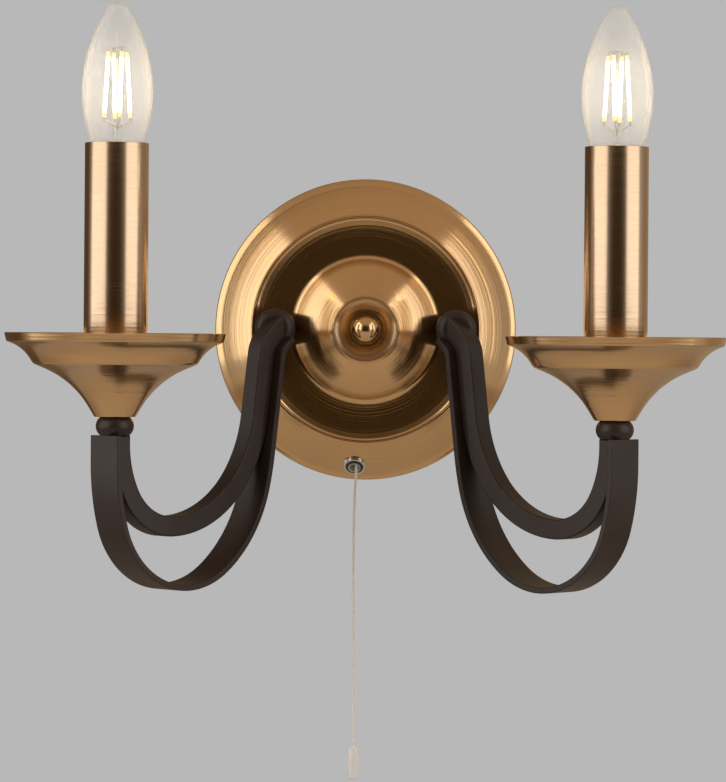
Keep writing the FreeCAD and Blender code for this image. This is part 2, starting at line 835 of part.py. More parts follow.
def make_lampholder(pieces):
    """Insulating body with a wiring chamber below, and the brass screw shell and contact in it."""
    body = rod(holder_radius, holder_top - holder_base, Vec(0, 0, holder_base))
    body = body.cut(rod(pipe_radius + thread_clearance, holder_pipe_length, Vec(0, 0, holder_base)))
    body = body.cut(rod(pipe_bore_radius, holder_floor, Vec(0, 0, holder_base)))
    chamber_foot = holder_base + holder_floor
    body = body.cut(rod(holder_chamber_radius, holder_chamber_height, Vec(0, 0, chamber_foot)))
    body = body.cut(rod(shell_radius, holder_top - shell_foot, Vec(0, 0, shell_foot)))
    body = body.cut(rod(contact_leg_radius, shell_foot - chamber_foot, Vec(0, 0, chamber_foot)))
    pieces["lampholder_body"] = body.removeSplitter()
    pieces["lampholder_shell"] = pipe(shell_radius, shell_bore_radius, shell_length, Vec(0, 0, shell_foot))
    leg_foot = chamber_foot + holder_chamber_height
    leg = rod(contact_leg_radius, contact_top - leg_foot, Vec(0, 0, leg_foot))
    head = rod(contact_radius, contact_height, Vec(0, 0, contact_top - contact_height))
    pieces["lampholder_contact"] = leg.fuse(head).removeSplitter()


def glass_path():
    """Outside of the glass, from its neck up to the tip on the axis."""
    path = Bend(glass_neck_radius, glass_foot, glass_neck_heading)
    path.run(glass_neck_run).turn(glass_lower_radius, HALF_CIRCLE / 2).turn(glass_upper_radius, glass_tip_heading)
    path.run(glass_tip_run)
    return path.turn(path.u / sine(glass_tip_heading), HALF_CIRCLE)


def make_glass():
    """Envelope with the glass stem that closes its foot, and the stem's hole for the lead."""
    path = glass_path()
    outer = path.edges(0, lambda r, z: Vec(r, 0, z))
    inner = path.edges(glass_wall, lambda r, z: Vec(r, 0, z))
    neck = outer[0].Vertexes[0].Point
    inner_neck = inner[0].Vertexes[0].Point
    top_line = Part.makeLine(outer[-1].Vertexes[-1].Point, inner[-1].Vertexes[-1].Point)
    foot_line = Part.makeLine(neck, inner_neck)
    face = Part.Face(Part.Wire(Part.__sortEdges__(outer + inner + [top_line, foot_line])))
    envelope = face.revolve(ORIGIN, Z_AXIS, 360)

    hole = wire_radius + thread_clearance
    stem_top = glass_foot + stem_height
    waist = glass_foot + stem_waist_height
    flare_edge = (neck.x + inner_neck.x) / 2
    stem = revolved([Vec(hole, 0, glass_foot), Vec(flare_edge, 0, glass_foot),
                     Vec(flare_edge, 0, glass_foot + stem_flare_height / 2),
                     Vec(inner_neck.x, 0, glass_foot + stem_flare_height), Vec(stem_radius, 0, waist),
                     Vec(stem_tip_radius, 0, stem_top), Vec(hole, 0, stem_top)],
                    [0, 0, 0, stem_waist_round, 0, 0])
    return envelope.fuse(stem).removeSplitter()


def filament_ends(index):
    """Lower and upper end of one filament stick; the sticks lean inwards and twist a little."""
    low_angle = 360 / filament_count * index + filament_first_angle
    high_angle = low_angle + filament_twist
    low = Vec(filament_foot_circle * cosine(low_angle), filament_foot_circle * sine(low_angle),
              glass_foot + filament_start)
    high = Vec(filament_head_circle * cosine(high_angle), filament_head_circle * sine(high_angle),
               glass_foot + filament_start + filament_length)
    return low, high


def wire_between(start, end):
    return rod(wire_radius, (end - start).Length, start, (end - start).normalize())


def make_bulb_cap():
    """Screw cap: a thin shell with shallow grooves for the thread, and a collar under the glass."""
    bore = cap_thread_radius - cap_wall
    shell = pipe(cap_thread_radius, bore, cap_thread_length, Vec(0, 0, thread_foot))
    for groove in range(cap_groove_count):
        height = thread_foot + cap_groove_start + cap_groove_pitch * groove
        middle = cap_thread_radius - cap_groove_depth + cap_groove_radius
        shell = shell.cut(Part.makeTorus(middle, cap_groove_radius, Vec(0, 0, height)))
    collar = revolved([Vec(bore, 0, thread_top), Vec(cap_thread_radius, 0, thread_top),
                       Vec(cap_collar_radius, 0, glass_foot - cap_collar_edge),
                       Vec(cap_collar_radius, 0, glass_foot), Vec(bore, 0, glass_foot)], [0, 0, 0, 0])
    return shell.fuse(collar).removeSplitter()


def make_bulb(pieces):
    """Bulb on its axis: cap, insulator, glass, filament sticks, and the wires with the button."""
    hole = rod(wire_radius + thread_clearance, cap_insulator_height, Vec(0, 0, insulator_foot))
    insulator = Part.makeCone(cap_insulator_radius, cap_thread_radius, cap_insulator_height,
                              Vec(0, 0, insulator_foot))
    pieces["bulb_cap"] = make_bulb_cap()
    pieces["bulb_insulator"] = insulator.cut(hole)
    pieces["bulb_glass"] = make_glass()

    sticks = []
    stem_top = glass_foot + stem_height
    spread_point = Vec(0, 0, stem_top + wire_foot_depth)
    post_top = Vec(0, 0, glass_foot + post_height)
    button = rod(cap_button_radius, cap_button_height, Vec(0, 0, cap_foot))
    wires = button.fuse(wire_between(Vec(0, 0, cap_foot), post_top))
    for index in range(filament_count):
        low, high = filament_ends(index)
        sticks.append(rod(filament_radius, (high - low).Length, low, (high - low).normalize()))
        wires = wires.fuse(wire_between(spread_point, low)).fuse(wire_between(high, post_top))
    for stick in sticks:
        wires = wires.cut(stick)
    pieces["bulb_filaments"] = Part.makeCompound(sticks)
    pieces["bulb_wires"] = largest(wires)


def make_candle(pieces):
    """All that stands on the end of one arm, on its axis through the origin."""
    pieces["neck_bead"] = make_neck_bead()
    pieces["drip_pan"] = make_pan()
    pieces["candle_nipple"] = pipe(pipe_radius, pipe_bore_radius, pipe_top - arm_top, Vec(0, 0, arm_top))
    pieces["candle_sleeve"] = pipe(sleeve_radius, sleeve_radius - sleeve_wall, sleeve_length,
                                   Vec(0, 0, sleeve_foot))
    make_lampholder(pieces)
    make_bulb(pieces)


def candle_nut_heights():
    return pan_floor + pan_sheet, holder_base - pipe_nut_height


# ---------------------------------------------------------------- pull switch

class SwitchFrame:
    """Places on the flange where the switch sits: reach is square to the flange, towards the room."""

    def __init__(self):
        self.outward = Vec(-sine(switch_angle), 0, -cosine(switch_angle))
        self.side = Vec(cosine(switch_angle), 0, -sine(switch_angle))
        slope_run = flange_foot_radius - annulus_radius
        slope_rise = annulus_depth - rim_height - rim_round
        slant = math.hypot(slope_run, slope_rise)
        self.normal_out = slope_rise / slant
        self.normal_depth = slope_run / slant
        self.normal = self.outward * self.normal_out + TO_ROOM * self.normal_depth
        self.depth = rim_height + rim_round + (flange_foot_radius - switch_radius) * slope_rise / slope_run

    def place(self, radius, depth, side=0.0):
        return self.outward * radius + TO_ROOM * depth + self.side * side

    def flat(self, reach, down=0.0):
        """Radius and depth of a point: reach along the bush's axis, down along the flange."""
        radius = switch_radius + reach * self.normal_out + down * self.normal_depth
        depth = self.depth + reach * self.normal_depth - down * self.normal_out
        return radius, depth

    def at(self, reach, side=0.0):
        radius, depth = self.flat(reach)
        return self.place(radius, depth, side)

    def prism(self, corners, low, high):
        """Solid with an outline of radius and depth corners, between two places along side."""
        ring = [self.place(radius, depth, low) for radius, depth in corners + [corners[0]]]
        return Part.Face(Part.makePolygon(ring)).extrude(self.side * (high - low))


def housing_outline(switch, wall):
    """Outline of the switch housing, moved inwards by wall."""
    reach = -plate_sheet - housing_gap - wall
    back = housing_back_depth + wall
    front = dish_depth - plate_sheet - housing_front_gap - wall
    inner = housing_inner_radius + wall
    slope = switch.normal_depth / switch.normal_out

    def radius_at(depth):
        radius, at_depth = switch.flat(reach)
        return radius - (depth - at_depth) * slope

    return [(inner, back), (radius_at(back), back), (radius_at(front), front), (inner, front)]


def lever_geometry(switch):
    """Pivot of the lever, its tip at rest, and the turn that goes with the cord's travel."""
    middle_reach = -lever_rest_reach + cord_travel / 2
    half_turn = math.degrees(math.asin(cord_travel / 2 / lever_arm))
    back = lever_arm * cosine(half_turn)
    pivot = switch.flat(middle_reach, -back)
    tip = switch.flat(-lever_rest_reach)
    return pivot, tip, 2 * half_turn


def contact_side(place):
    """Place along the housing of one of its two contacts, -1 or 1."""
    return place * switch_contact_spacing / 2 - switch_contact_shift


def make_switch(switch):
    outline = housing_outline(switch, 0.0)
    cavity = housing_outline(switch, housing_wall)
    half = housing_half_width
    lid_side = half - lid_thickness
    housing = switch.prism(outline, -half, lid_side)
    housing = housing.cut(switch.prism(cavity, -half + housing_wall, lid_side))

    pivot, tip, turn = lever_geometry(switch)
    pin_length = 2 * half - housing_wall - lid_thickness
    pin_base = switch.place(pivot[0], pivot[1], -half + housing_wall)
    pin = rod(lever_pin_radius, pin_length, pin_base, switch.side)
    save("switch_pin", pin)

    bush_back = -plate_sheet - housing_gap - housing_wall
    bush_hole = rod(bush_radius + thread_clearance, bush_stickout - bush_back, switch.at(bush_back),
                    switch.normal)
    housing = housing.cut(bush_hole)
    bush = pipe(bush_radius, bush_bore_radius, bush_stickout - bush_back, switch.at(bush_back), switch.normal)
    save("switch_bush", bush)

    posts = []
    post_corners = ((cavity[0][0] + lid_post_inset, cavity[0][1] + lid_post_inset),
                    (cavity[3][0] + lid_post_inset, cavity[3][1] - lid_post_inset))
    for radius, depth in post_corners:
        foot = switch.place(radius, depth, -half + housing_wall)
        post_length = lid_side + half - housing_wall
        post = rod(lid_post_radius, post_length, foot, switch.side)
        housing = housing.fuse(post)
        posts.append((radius, depth))
    contact_middle = (cavity[0][1] + cavity[3][1]) / 2
    lid = switch.prism(outline, lid_side, half)
    screws = []
    for radius, depth in posts:
        start = switch.place(radius, depth, half)
        hole = rod(lid_screw_radius + thread_clearance, lid_screw_length, start, switch.side * -1)
        housing = housing.cut(hole)
        lid = lid.cut(hole)
        shank = rod(lid_screw_radius, lid_screw_length, start, switch.side * -1)
        head = rod(lid_screw_head_radius, lid_screw_head_height, start, switch.side)
        screws.append(shank.fuse(head).removeSplitter())
    save("switch_lid", lid)
    save("switch_lid_screws", *screws)

    contacts = []
    for place in (-1, 1):
        side = contact_side(place)
        outside = housing_inner_radius - switch_contact_stickout
        inside = housing_inner_radius + housing_wall + switch_contact_thickness
        low = contact_middle - switch_contact_height / 2
        high = contact_middle + switch_contact_height / 2
        corners = [(outside, low), (inside, low), (inside, high), (outside, high)]
        contact = switch.prism(corners, side - switch_contact_width / 2, side + switch_contact_width / 2)
        housing = housing.cut(contact)
        contacts.append(contact)
    save("switch_contacts", *contacts)
    save("switch_housing", housing.removeSplitter())

    make_lever(switch, pivot, tip)
    make_spring(switch, pivot)
    make_bush_trim(switch)
    return contact_middle, turn


def make_lever(switch, pivot, tip):
    """Flat lever with a hub round the pin and a hole for the cord's knot in its tip."""
    along = (tip[0] - pivot[0], tip[1] - pivot[1])
    length = math.hypot(along[0], along[1])
    unit = (along[0] / length, along[1] / length)
    half = lever_thickness / 2
    corners = [(pivot[0] - unit[1] * half, pivot[1] + unit[0] * half),
               (tip[0] - unit[1] * half, tip[1] + unit[0] * half),
               (tip[0] + unit[1] * half, tip[1] - unit[0] * half),
               (pivot[0] + unit[1] * half, pivot[1] - unit[0] * half)]
    blade = switch.prism(corners, -lever_width / 2, lever_width / 2)
    hub_base = switch.place(pivot[0], pivot[1], -lever_width / 2)
    hub = rod(lever_hub_radius, lever_width, hub_base, switch.side)
    lever = blade.fuse(hub)
    lever = lever.cut(rod(lever_pin_radius + running_clearance, lever_width, hub_base, switch.side))
    save("switch_lever", lever.removeSplitter())


def make_spring(switch, pivot):
    """Return spring round the pin, beside the lever's hub."""
    base = switch.place(pivot[0], pivot[1], lever_width / 2 + loose_gap)
    save("switch_spring", pipe(spring_radius, spring_radius - spring_wall, spring_length, base, switch.side))


def make_bush_trim(switch):
    """Chrome ring nut on the flange, and the pale flared liner that the cord runs over."""
    nut = revolved([Vec(bush_radius + thread_clearance, 0, 0), Vec(ring_nut_radius, 0, 0),
                    Vec(ring_nut_radius, 0, ring_nut_height - ring_nut_bevel),
                    Vec(ring_nut_radius - ring_nut_bevel, 0, ring_nut_height),
                    Vec(bush_radius + thread_clearance, 0, ring_nut_height)], [0, 0, 0, 0])
    nut.Placement = FreeCAD.Placement(switch.at(0), FreeCAD.Rotation(Z_AXIS, switch.normal))
    save("switch_ring_nut", nut)

    top = liner_stickout
    throat = top - liner_flare_length
    foot = -plate_sheet - housing_gap - housing_wall
    lip = liner_radius - liner_wall
    flare_middle = (lip + liner_throat_radius) / 2 - liner_flare_bulge
    flare = Part.Arc(Vec(liner_throat_radius, 0, throat), Vec(flare_middle, 0, (top + throat) / 2),
                     Vec(lip, 0, top)).toShape()
    rest = Part.makePolygon([Vec(lip, 0, top), Vec(liner_radius, 0, top), Vec(liner_radius, 0, foot),
                             Vec(liner_throat_radius, 0, foot), Vec(liner_throat_radius, 0, throat)])
    liner = Part.Face(Part.Wire([flare] + rest.Edges)).revolve(ORIGIN, Z_AXIS, 360)
    liner.Placement = FreeCAD.Placement(switch.at(0), FreeCAD.Rotation(Z_AXIS, switch.normal))
    save("cord_liner", liner)


# ---------------------------------------------------------------- cord and wiring

def cord_top(switch):
    """Where the cord leaves the bore and turns straight down, to one side of the mouth's middle."""
    return switch.place(switch_radius + cord_start, cord_depth, cord_side)


def cord_route(switch):
    """Points of the free cord, from the lip of the mouth down to the pull."""
    start = cord_top(switch) - Z_AXIS * (cord_neck_length + cord_joint_gap)
    points = [start]
    for run, sway in zip(cord_runs, cord_sways):
        points.append(points[-1] + Vec(sway, 0, -run))
    points.append(Vec(points[-1].x + cord_end_sway, start.y, start.z - cord_length))
    return points


def largest_radii(points, share=0.45):
    """For each corner, the arc that its two runs allow."""
    radii = []
    for before, corner, after in zip(points, points[1:], points[2:]):
        shorter = min((corner - before).Length, (after - corner).Length)
        turn = (corner - before).getAngle(after - corner)
        radii.append(share * shorter / math.tan(turn / 2))
    return radii


def make_cord(switch):
    points = cord_route(switch)
    radii = largest_radii(points)
    cord = tube_along(points, radii, cord_radius)
    spine_length = sum(edge.Length for edge in route_edges(points, radii))
    plain_volume = math.pi * cord_radius ** 2 * spine_length
    print("cord arc radii", [round(radius) for radius in radii], "length", round(spine_length, 2))
    print("cord volume against section times length", round(cord.Volume / plain_volume, 5))
    print("cord points", [(round(p.x, 3), round(p.y, 3), round(p.z, 3)) for p in points])
    save("pull_cord", cord)
    top = cord_top(switch)
    save("cord_neck", rod(cord_radius, cord_neck_length, top, Z_AXIS * -1))
    inner_foot = -lever_rest_reach + lever_thickness / 2 + inner_cord_gap
    save("inner_cord", rod(cord_radius, -inner_cord_top - inner_foot, switch.at(inner_foot), switch.normal))
    make_pull(points[-1])


def make_pull(end):
    """Moulded pull: a slim neck on a longer barrel that tapers downwards."""
    foot = -pull_length
    barrel = -pull_neck_length
    pull = revolved([Vec(0, 0, 0), Vec(pull_neck_radius, 0, 0), Vec(pull_neck_radius, 0, barrel),
                     Vec(pull_top_radius, 0, barrel - pull_shoulder_height),
                     Vec(pull_bottom_radius, 0, foot), Vec(0, 0, foot)],
                    [pull_neck_round, 0, pull_shoulder_round, pull_round, 0])
    save("cord_pull", moved(pull, end))


def make_arm_cable(terminal):
    """Cable from the lampholder down the stud, through the square tube and boss to the block."""
    path = tube_path()
    start = arm_point(tube_shift, holder_base + holder_floor + cable_start_height)
    spine = [Part.makeLine(start, arm_point(tube_shift, arm_top))]
    spine += path.edges(0, arm_point)[:-1]
    bend_end = spine[-1].Vertexes[-1].Point
    entry = arm_point(arm_span, -entry_drop)
    low = -bracket_width / 2 - cable_radius - cable_under_bracket
    behind = Vec(-boss_offset, -cable_turn_depth, -entry_drop)
    beside = Vec(-boss_offset + cable_side_run, -cable_turn_depth, low)
    above = Vec(-terminal.x, terminal.y, low + cable_rise)
    mouth = Vec(-terminal.x, terminal.y, terminal.z - cable_into_block)
    radii = [cable_turn_radius, cable_turn_radius, cable_side_radius, cable_end_radius]
    spine += route_edges([bend_end, entry, behind, beside, above, mouth], radii)
    section = Part.Wire([Part.makeCircle(cable_radius, start, Z_AXIS * -1)])
    return Part.Wire(spine).makePipeShell([section], True, False)


def make_switch_leads(switch, terminal, block_bottom, contact_middle):
    leads = []
    for place in (-1, 1):
        contact = switch.place(housing_inner_radius - switch_contact_stickout, contact_middle,
                               contact_side(place))
        mouth = Vec(place * terminal.x, terminal.y, block_bottom + lead_into_block)
        leave = contact - switch.outward * lead_run
        arrive = mouth - Z_AXIS * (lead_end_run + lead_into_block)
        route = [contact, leave, arrive, mouth]
        leads.append(tube_along(route, [lead_turn_radius, lead_turn_radius], lead_radius))
    save("switch_leads", *leads)


# ---------------------------------------------------------------- build

def main():
    os.makedirs("parts", exist_ok=True)
    switch = SwitchFrame()
    save("backplate", make_backplate(switch))
    save("wall_bracket", make_bracket())
    make_centre_fixings()
    terminal, block_bottom = make_terminal_block()
    contact_middle, lever_turn = make_switch(switch)
    make_cord(switch)
    make_switch_leads(switch, terminal, block_bottom, contact_middle)

    arm = {}
    make_arm(arm)
    arm["arm_cable"] = make_arm_cable(terminal)
    candle = {}
    make_candle(candle)
    for name, shape in candle.items():
        arm[name] = moved(shape, candle_foot)
    for name, shape in arm.items():
        save("left_" + name, shape)
        save("right_" + name, mirrored(shape))

    nuts = make_boss_fixings()
    for side in (-1, 1):
        for height in candle_nut_heights():
            nuts.append(hex_nut(pipe_nut_flats, pipe_nut_height, pipe_radius + thread_clearance,
                                Vec(side * candle_x, -candle_depth, height)))
    save("pipe_locknuts", *nuts)

    pivot = lever_geometry(switch)[0]
    print("cord neck", cord_top(switch), "bush axis", switch.normal)
    print("lever pivot", switch.place(pivot[0], pivot[1]), "axis", switch.side, "turn", round(lever_turn, 3))
    print("candle axis", candle_foot, "sleeve", round(sleeve_foot, 2), round(sleeve_top, 2))
    print("cap foot", round(cap_foot, 2), "glass foot", round(glass_foot, 2))
    print("pan rim", round(pan_rim_top, 2), "plate cap depth", round(cap_depth, 2))


main()
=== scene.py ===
"""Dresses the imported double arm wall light: finishes, spun and blown pieces, cord, lamps and camera.

Lengths in the piece classes are in millimetres, as on a drawing, and MM turns them into metres.
"""

import json
import logging
import math
from dataclasses import dataclass, field
from enum import Enum
from typing import Any, Sequence, Union

import bpy
from mathutils import Matrix, Vector

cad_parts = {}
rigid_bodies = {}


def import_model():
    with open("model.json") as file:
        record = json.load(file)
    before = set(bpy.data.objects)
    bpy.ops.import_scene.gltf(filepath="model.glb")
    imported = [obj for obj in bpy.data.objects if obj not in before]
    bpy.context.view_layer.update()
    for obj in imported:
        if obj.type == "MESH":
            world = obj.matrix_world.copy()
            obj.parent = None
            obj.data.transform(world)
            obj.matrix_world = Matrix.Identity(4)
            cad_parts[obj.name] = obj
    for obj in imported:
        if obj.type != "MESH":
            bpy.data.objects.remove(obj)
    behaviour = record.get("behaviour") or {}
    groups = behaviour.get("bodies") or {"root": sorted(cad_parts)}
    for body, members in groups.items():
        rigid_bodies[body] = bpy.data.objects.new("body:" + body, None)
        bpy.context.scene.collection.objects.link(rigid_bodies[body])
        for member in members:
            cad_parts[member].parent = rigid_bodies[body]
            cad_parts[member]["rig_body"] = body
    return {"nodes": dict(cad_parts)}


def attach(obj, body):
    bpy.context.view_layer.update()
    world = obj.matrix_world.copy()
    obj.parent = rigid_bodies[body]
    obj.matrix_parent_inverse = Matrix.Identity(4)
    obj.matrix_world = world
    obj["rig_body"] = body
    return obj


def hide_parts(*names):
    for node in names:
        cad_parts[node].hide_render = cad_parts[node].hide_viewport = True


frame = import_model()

MM = 0.001
SIDES = {"left": -1.0, "right": 1.0}
Point = tuple[float, float]
Colour = tuple[float, float, float]

logging.basicConfig(level=logging.INFO, format="%(message)s")
log = logging.getLogger("wall_light")
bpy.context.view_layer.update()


# ------------------------------------------------------------------ shader maths

class Link:
    """An output of a shader node that can be used in Python arithmetic."""

    def __init__(self, shader: "Shader", socket: bpy.types.NodeSocket) -> None:
        """Wraps one output.

        Args:
            shader: The material that the node is in.
            socket: The node's output.
        """
        self.shader = shader
        self.socket = socket

    def _math(self, operation: str, first: "Value", second: "Value") -> "Link":
        """Adds a Math node.

        Args:
            operation: The node's operation.
            first: Its first value.
            second: Its second value.

        Returns:
            The node's result.
        """
        return self.shader.node("ShaderNodeMath", {"operation": operation}, {0: first, 1: second})

    def __add__(self, other: "Value") -> "Link":
        """Sum."""
        return self._math("ADD", self, other)

    def __radd__(self, other: "Value") -> "Link":
        """Sum with a number on the left."""
        return self._math("ADD", other, self)

    def __sub__(self, other: "Value") -> "Link":
        """Difference."""
        return self._math("SUBTRACT", self, other)

    def __rsub__(self, other: "Value") -> "Link":
        """Difference from a number on the left."""
        return self._math("SUBTRACT", other, self)

    def __mul__(self, other: "Value") -> "Link":
        """Product."""
        return self._math("MULTIPLY", self, other)

    def __rmul__(self, other: "Value") -> "Link":
        """Product with a number on the left."""
        return self._math("MULTIPLY", other, self)

    def __truediv__(self, other: "Value") -> "Link":
        """Quotient."""
        return self._math("DIVIDE", self, other)

    def __pow__(self, other: "Value") -> "Link":
        """Power."""
        return self._math("POWER", self, other)

    def ramp(self, low: float, high: float) -> "Link":
        """Smooth step from 0 at low to 1 at high.

        Args:
            low: The value that gives 0.
            high: The value that gives 1.

        Returns:
            The smoothed share.
        """
        settings = {"interpolation_type": "SMOOTHSTEP", "clamp": True}
        return self.shader.node("ShaderNodeMapRange", settings, {0: self, 1: low, 2: high, 3: 0.0, 4: 1.0})


Value = Union[Link, float, int, Sequence[float]]


class Shader:
    """A node tree that is built from Python calls."""

    def __init__(self, tree: bpy.types.NodeTree) -> None:
        """Empties a node tree.

        Args:
            tree: The tree of a material or a world.
        """
        self.tree = tree
        self.tree.nodes.clear()

    def node(self, kind: str, settings: dict[str, Any], inputs: dict[Union[str, int], Value],
             output: Union[str, int] = 0) -> Link:
        """Adds a node.

        Args:
            kind: The node's type.
            settings: Its settings, set before its inputs; "stops" holds a ramp's places and colours.
            inputs: Values or links of its inputs, by name or number.
            output: The output to return.

        Returns:
            That output.
        """
        made = self.tree.nodes.new(kind)
        for name, setting in settings.items():
            if name == "stops":
                for index, (place, colour) in enumerate(setting):
                    elements = made.color_ramp.elements
                    stop = elements[index] if index < len(elements) else elements.new(place)
                    stop.position = place
                    stop.color = colour
            else:
                setattr(made, name, setting)
        for name, value in inputs.items():
            if isinstance(value, Link):
                self.tree.links.new(value.socket, made.inputs[name])
            else:
                made.inputs[name].default_value = value
        return Link(self, made.outputs[output])

    def place(self, centre: Vector) -> tuple[Link, Link, Link]:
        """Object coordinates about a centre.

        Args:
            centre: The centre in metres.

        Returns:
            The three coordinates.
        """
        coordinates = self.node("ShaderNodeTexCoord", {}, {}, "Object")
        about = self.node("ShaderNodeVectorMath", {"operation": "SUBTRACT"},
                          {0: coordinates, 1: tuple(centre)})
        parts = self.node("ShaderNodeSeparateXYZ", {}, {0: about})
        outputs = parts.socket.node.outputs
        return Link(self, outputs[0]), Link(self, outputs[1]), Link(self, outputs[2])

    def vector(self, x: Value, y: Value, z: Value) -> Link:
        """Vector of three values."""
        return self.node("ShaderNodeCombineXYZ", {}, {0: x, 1: y, 2: z})

    def noise(self, vector: Link, scale: float, detail: float = 2.0, roughness: float = 0.5) -> Link:
        """Noise from 0 to 1.

        Args:
            vector: Where the noise is read.
            scale: Features in a metre.
            detail: Number of finer layers.
            roughness: Strength of the finer layers.

        Returns:
            The noise.
        """
        inputs = {"Vector": vector, "Scale": scale, "Detail": detail, "Roughness": roughness}
        return self.node("ShaderNodeTexNoise", {}, inputs, 0)

    def blend(self, share: Value, first: Value, second: Value) -> Link:
        """Mix of two colours.

        Args:
            share: 0 gives the first and 1 the second.
            first: A colour or link.
            second: A colour or link.

        Returns:
            The mixed colour.
        """
        settings = {"data_type": "RGBA", "blend_type": "MIX"}
        return self.node("ShaderNodeMix", settings, {0: share, 6: first, 7: second}, 2)

    def bump(self, height: Value, distance: float, strength: float = 1.0) -> Link:
        """Normal from a height."""
        return self.node("ShaderNodeBump", {}, {"Strength": strength, "Distance": distance, "Height": height})


class Axis(Enum):
    """The axis that a piece was turned about."""

    Y = "Y"
    Z = "Z"


def rgba(colour: Colour) -> tuple[float, float, float, float]:
    """Colour with full opacity."""
    return (colour[0], colour[1], colour[2], 1.0)


@dataclass(frozen=True)
class Finish:
    """A surface finish. Each kind adds its own pattern to the base shader.

    A count is the number of features in a metre, and a height is in metres.
    """

    name: str
    colour: Colour
    roughness: float = 0.4
    metallic: float = 0.0

    def build(self) -> bpy.types.Material:
        """Makes the material.

        Returns:
            The finished material.
        """
        material = bpy.data.materials.new(self.name)
        material.use_nodes = True
        shader = Shader(material.node_tree)
        surface = self.surface(shader)
        output = shader.tree.nodes.new("ShaderNodeOutputMaterial")
        shader.tree.links.new(surface.socket, output.inputs["Surface"])
        return material

    def surface(self, shader: Shader) -> Link:
        """The surface shader."""
        raise NotImplementedError

    def principled(self, shader: Shader, inputs: dict[Union[str, int], Value]) -> Link:
        """Principled shader with this finish's colour, roughness and metal, unless inputs give them.

        Args:
            shader: The material.
            inputs: Further inputs.

        Returns:
            The shader's output.
        """
        every = {"Base Color": rgba(self.colour), "Roughness": self.roughness, "Metallic": self.metallic}
        every.update(inputs)
        return shader.node("ShaderNodeBsdfPrincipled", {}, every)


@dataclass(frozen=True)
class SpunMetal(Finish):
    """Metal spun or turned about an axis, with fine round grooves and a clear lacquer."""

    tone: Colour = (0.5, 0.4, 0.3)
    axis: Axis = Axis.Z
    centre: tuple[float, float, float] = (0.0, 0.0, 0.0)
    groove_count: float = 5200.0
    groove_lean: float = 0.9
    ring_lean: float = 0.12
    streak_count: float = 900.0
    streak_turn: float = 1.6
    cloud_count: float = 26.0
    gloss_change: float = 0.08
    coat: float = 1.0
    coat_index: float = 1.9
    coat_roughness: float = 0.2

    def surface(self, shader: Shader) -> Link:
        """Grooves, slow streaks along them, and two tones of metal."""
        x, y, z = shader.place(Vector(self.centre))
        across, along = (z, y) if self.axis is Axis.Y else (y, z)
        radius = (x * x + across * across) ** 0.5
        turn = shader.node("ShaderNodeMath", {"operation": "ARCTAN2"}, {0: across, 1: x})
        swept = (across * -1.0, 0.0, x) if self.axis is Axis.Y else (across * -1.0, x, 0.0)
        around = shader.node("ShaderNodeVectorMath", {"operation": "NORMALIZE"}, {0: shader.vector(*swept)})
        face = shader.node("ShaderNodeNewGeometry", {}, {}, "Normal")
        uphill = shader.node("ShaderNodeVectorMath", {"operation": "CROSS_PRODUCT"}, {0: face, 1: around})
        rings = shader.vector(radius, along, 0.0)
        grooves = shader.noise(rings, self.groove_count, 3.0, 0.6)
        bands = shader.vector(radius * self.streak_count, along * self.streak_count, turn * self.streak_turn)
        streaks = shader.noise(bands, 1.0, 2.0)
        clouds = shader.noise(shader.vector(x, y, z), self.cloud_count, 2.0)
        colour = shader.blend(streaks.ramp(0.3, 0.75) * 0.5 + clouds.ramp(0.35, 0.7) * 0.5,
                              rgba(self.colour), rgba(self.tone))
        rough = self.roughness + (grooves - 0.5) * self.gloss_change + (streaks - 0.5) * self.gloss_change
        lean = (grooves - 0.5) * self.groove_lean + (streaks - 0.5) * self.ring_lean
        leaning = shader.node("ShaderNodeVectorMath", {"operation": "MULTIPLY_ADD"},
                              {0: uphill, 1: lean, 2: face})
        normal = shader.node("ShaderNodeVectorMath", {"operation": "NORMALIZE"}, {0: leaning})
        return self.principled(shader, {"Base Color": colour, "Roughness": rough, "Normal": normal,
                                        "Coat Weight": self.coat, "Coat Roughness": self.coat_roughness,
                                        "Coat IOR": self.coat_index})


@dataclass(frozen=True)
class Paint(Finish):
    """Sprayed satin paint with a faint orange peel and a little dust in its tone."""

    tone: Colour = (0.05, 0.04, 0.035)
    peel_count: float = 900.0
    grain_count: float = 4200.0
    cloud_count: float = 45.0
    peel_height: float = 0.000028
    shine: float = 0.32

    def surface(self, shader: Shader) -> Link:
        """Fine peel in the normal and slow clouds in the tone."""
        x, y, z = shader.place(Vector((0.0, 0.0, 0.0)))
        where = shader.vector(x, y, z)
        peel = shader.noise(where, self.peel_count, 3.0, 0.55)
        grain = shader.noise(where, self.grain_count, 2.0, 0.6)
        clouds = shader.noise(where, self.cloud_count, 3.0)
        colour = shader.blend(clouds.ramp(0.3, 0.7) * 0.6 + grain * 0.3, rgba(self.colour), rgba(self.tone))
        rough = self.roughness + (peel - 0.5) * 0.1 + (clouds - 0.5) * 0.08
        normal = shader.bump(peel * 0.8 + grain * 0.2, self.peel_height)
        return self.principled(shader, {"Base Color": colour, "Roughness": rough, "Normal": normal,
                                        "Specular IOR Level": self.shine})


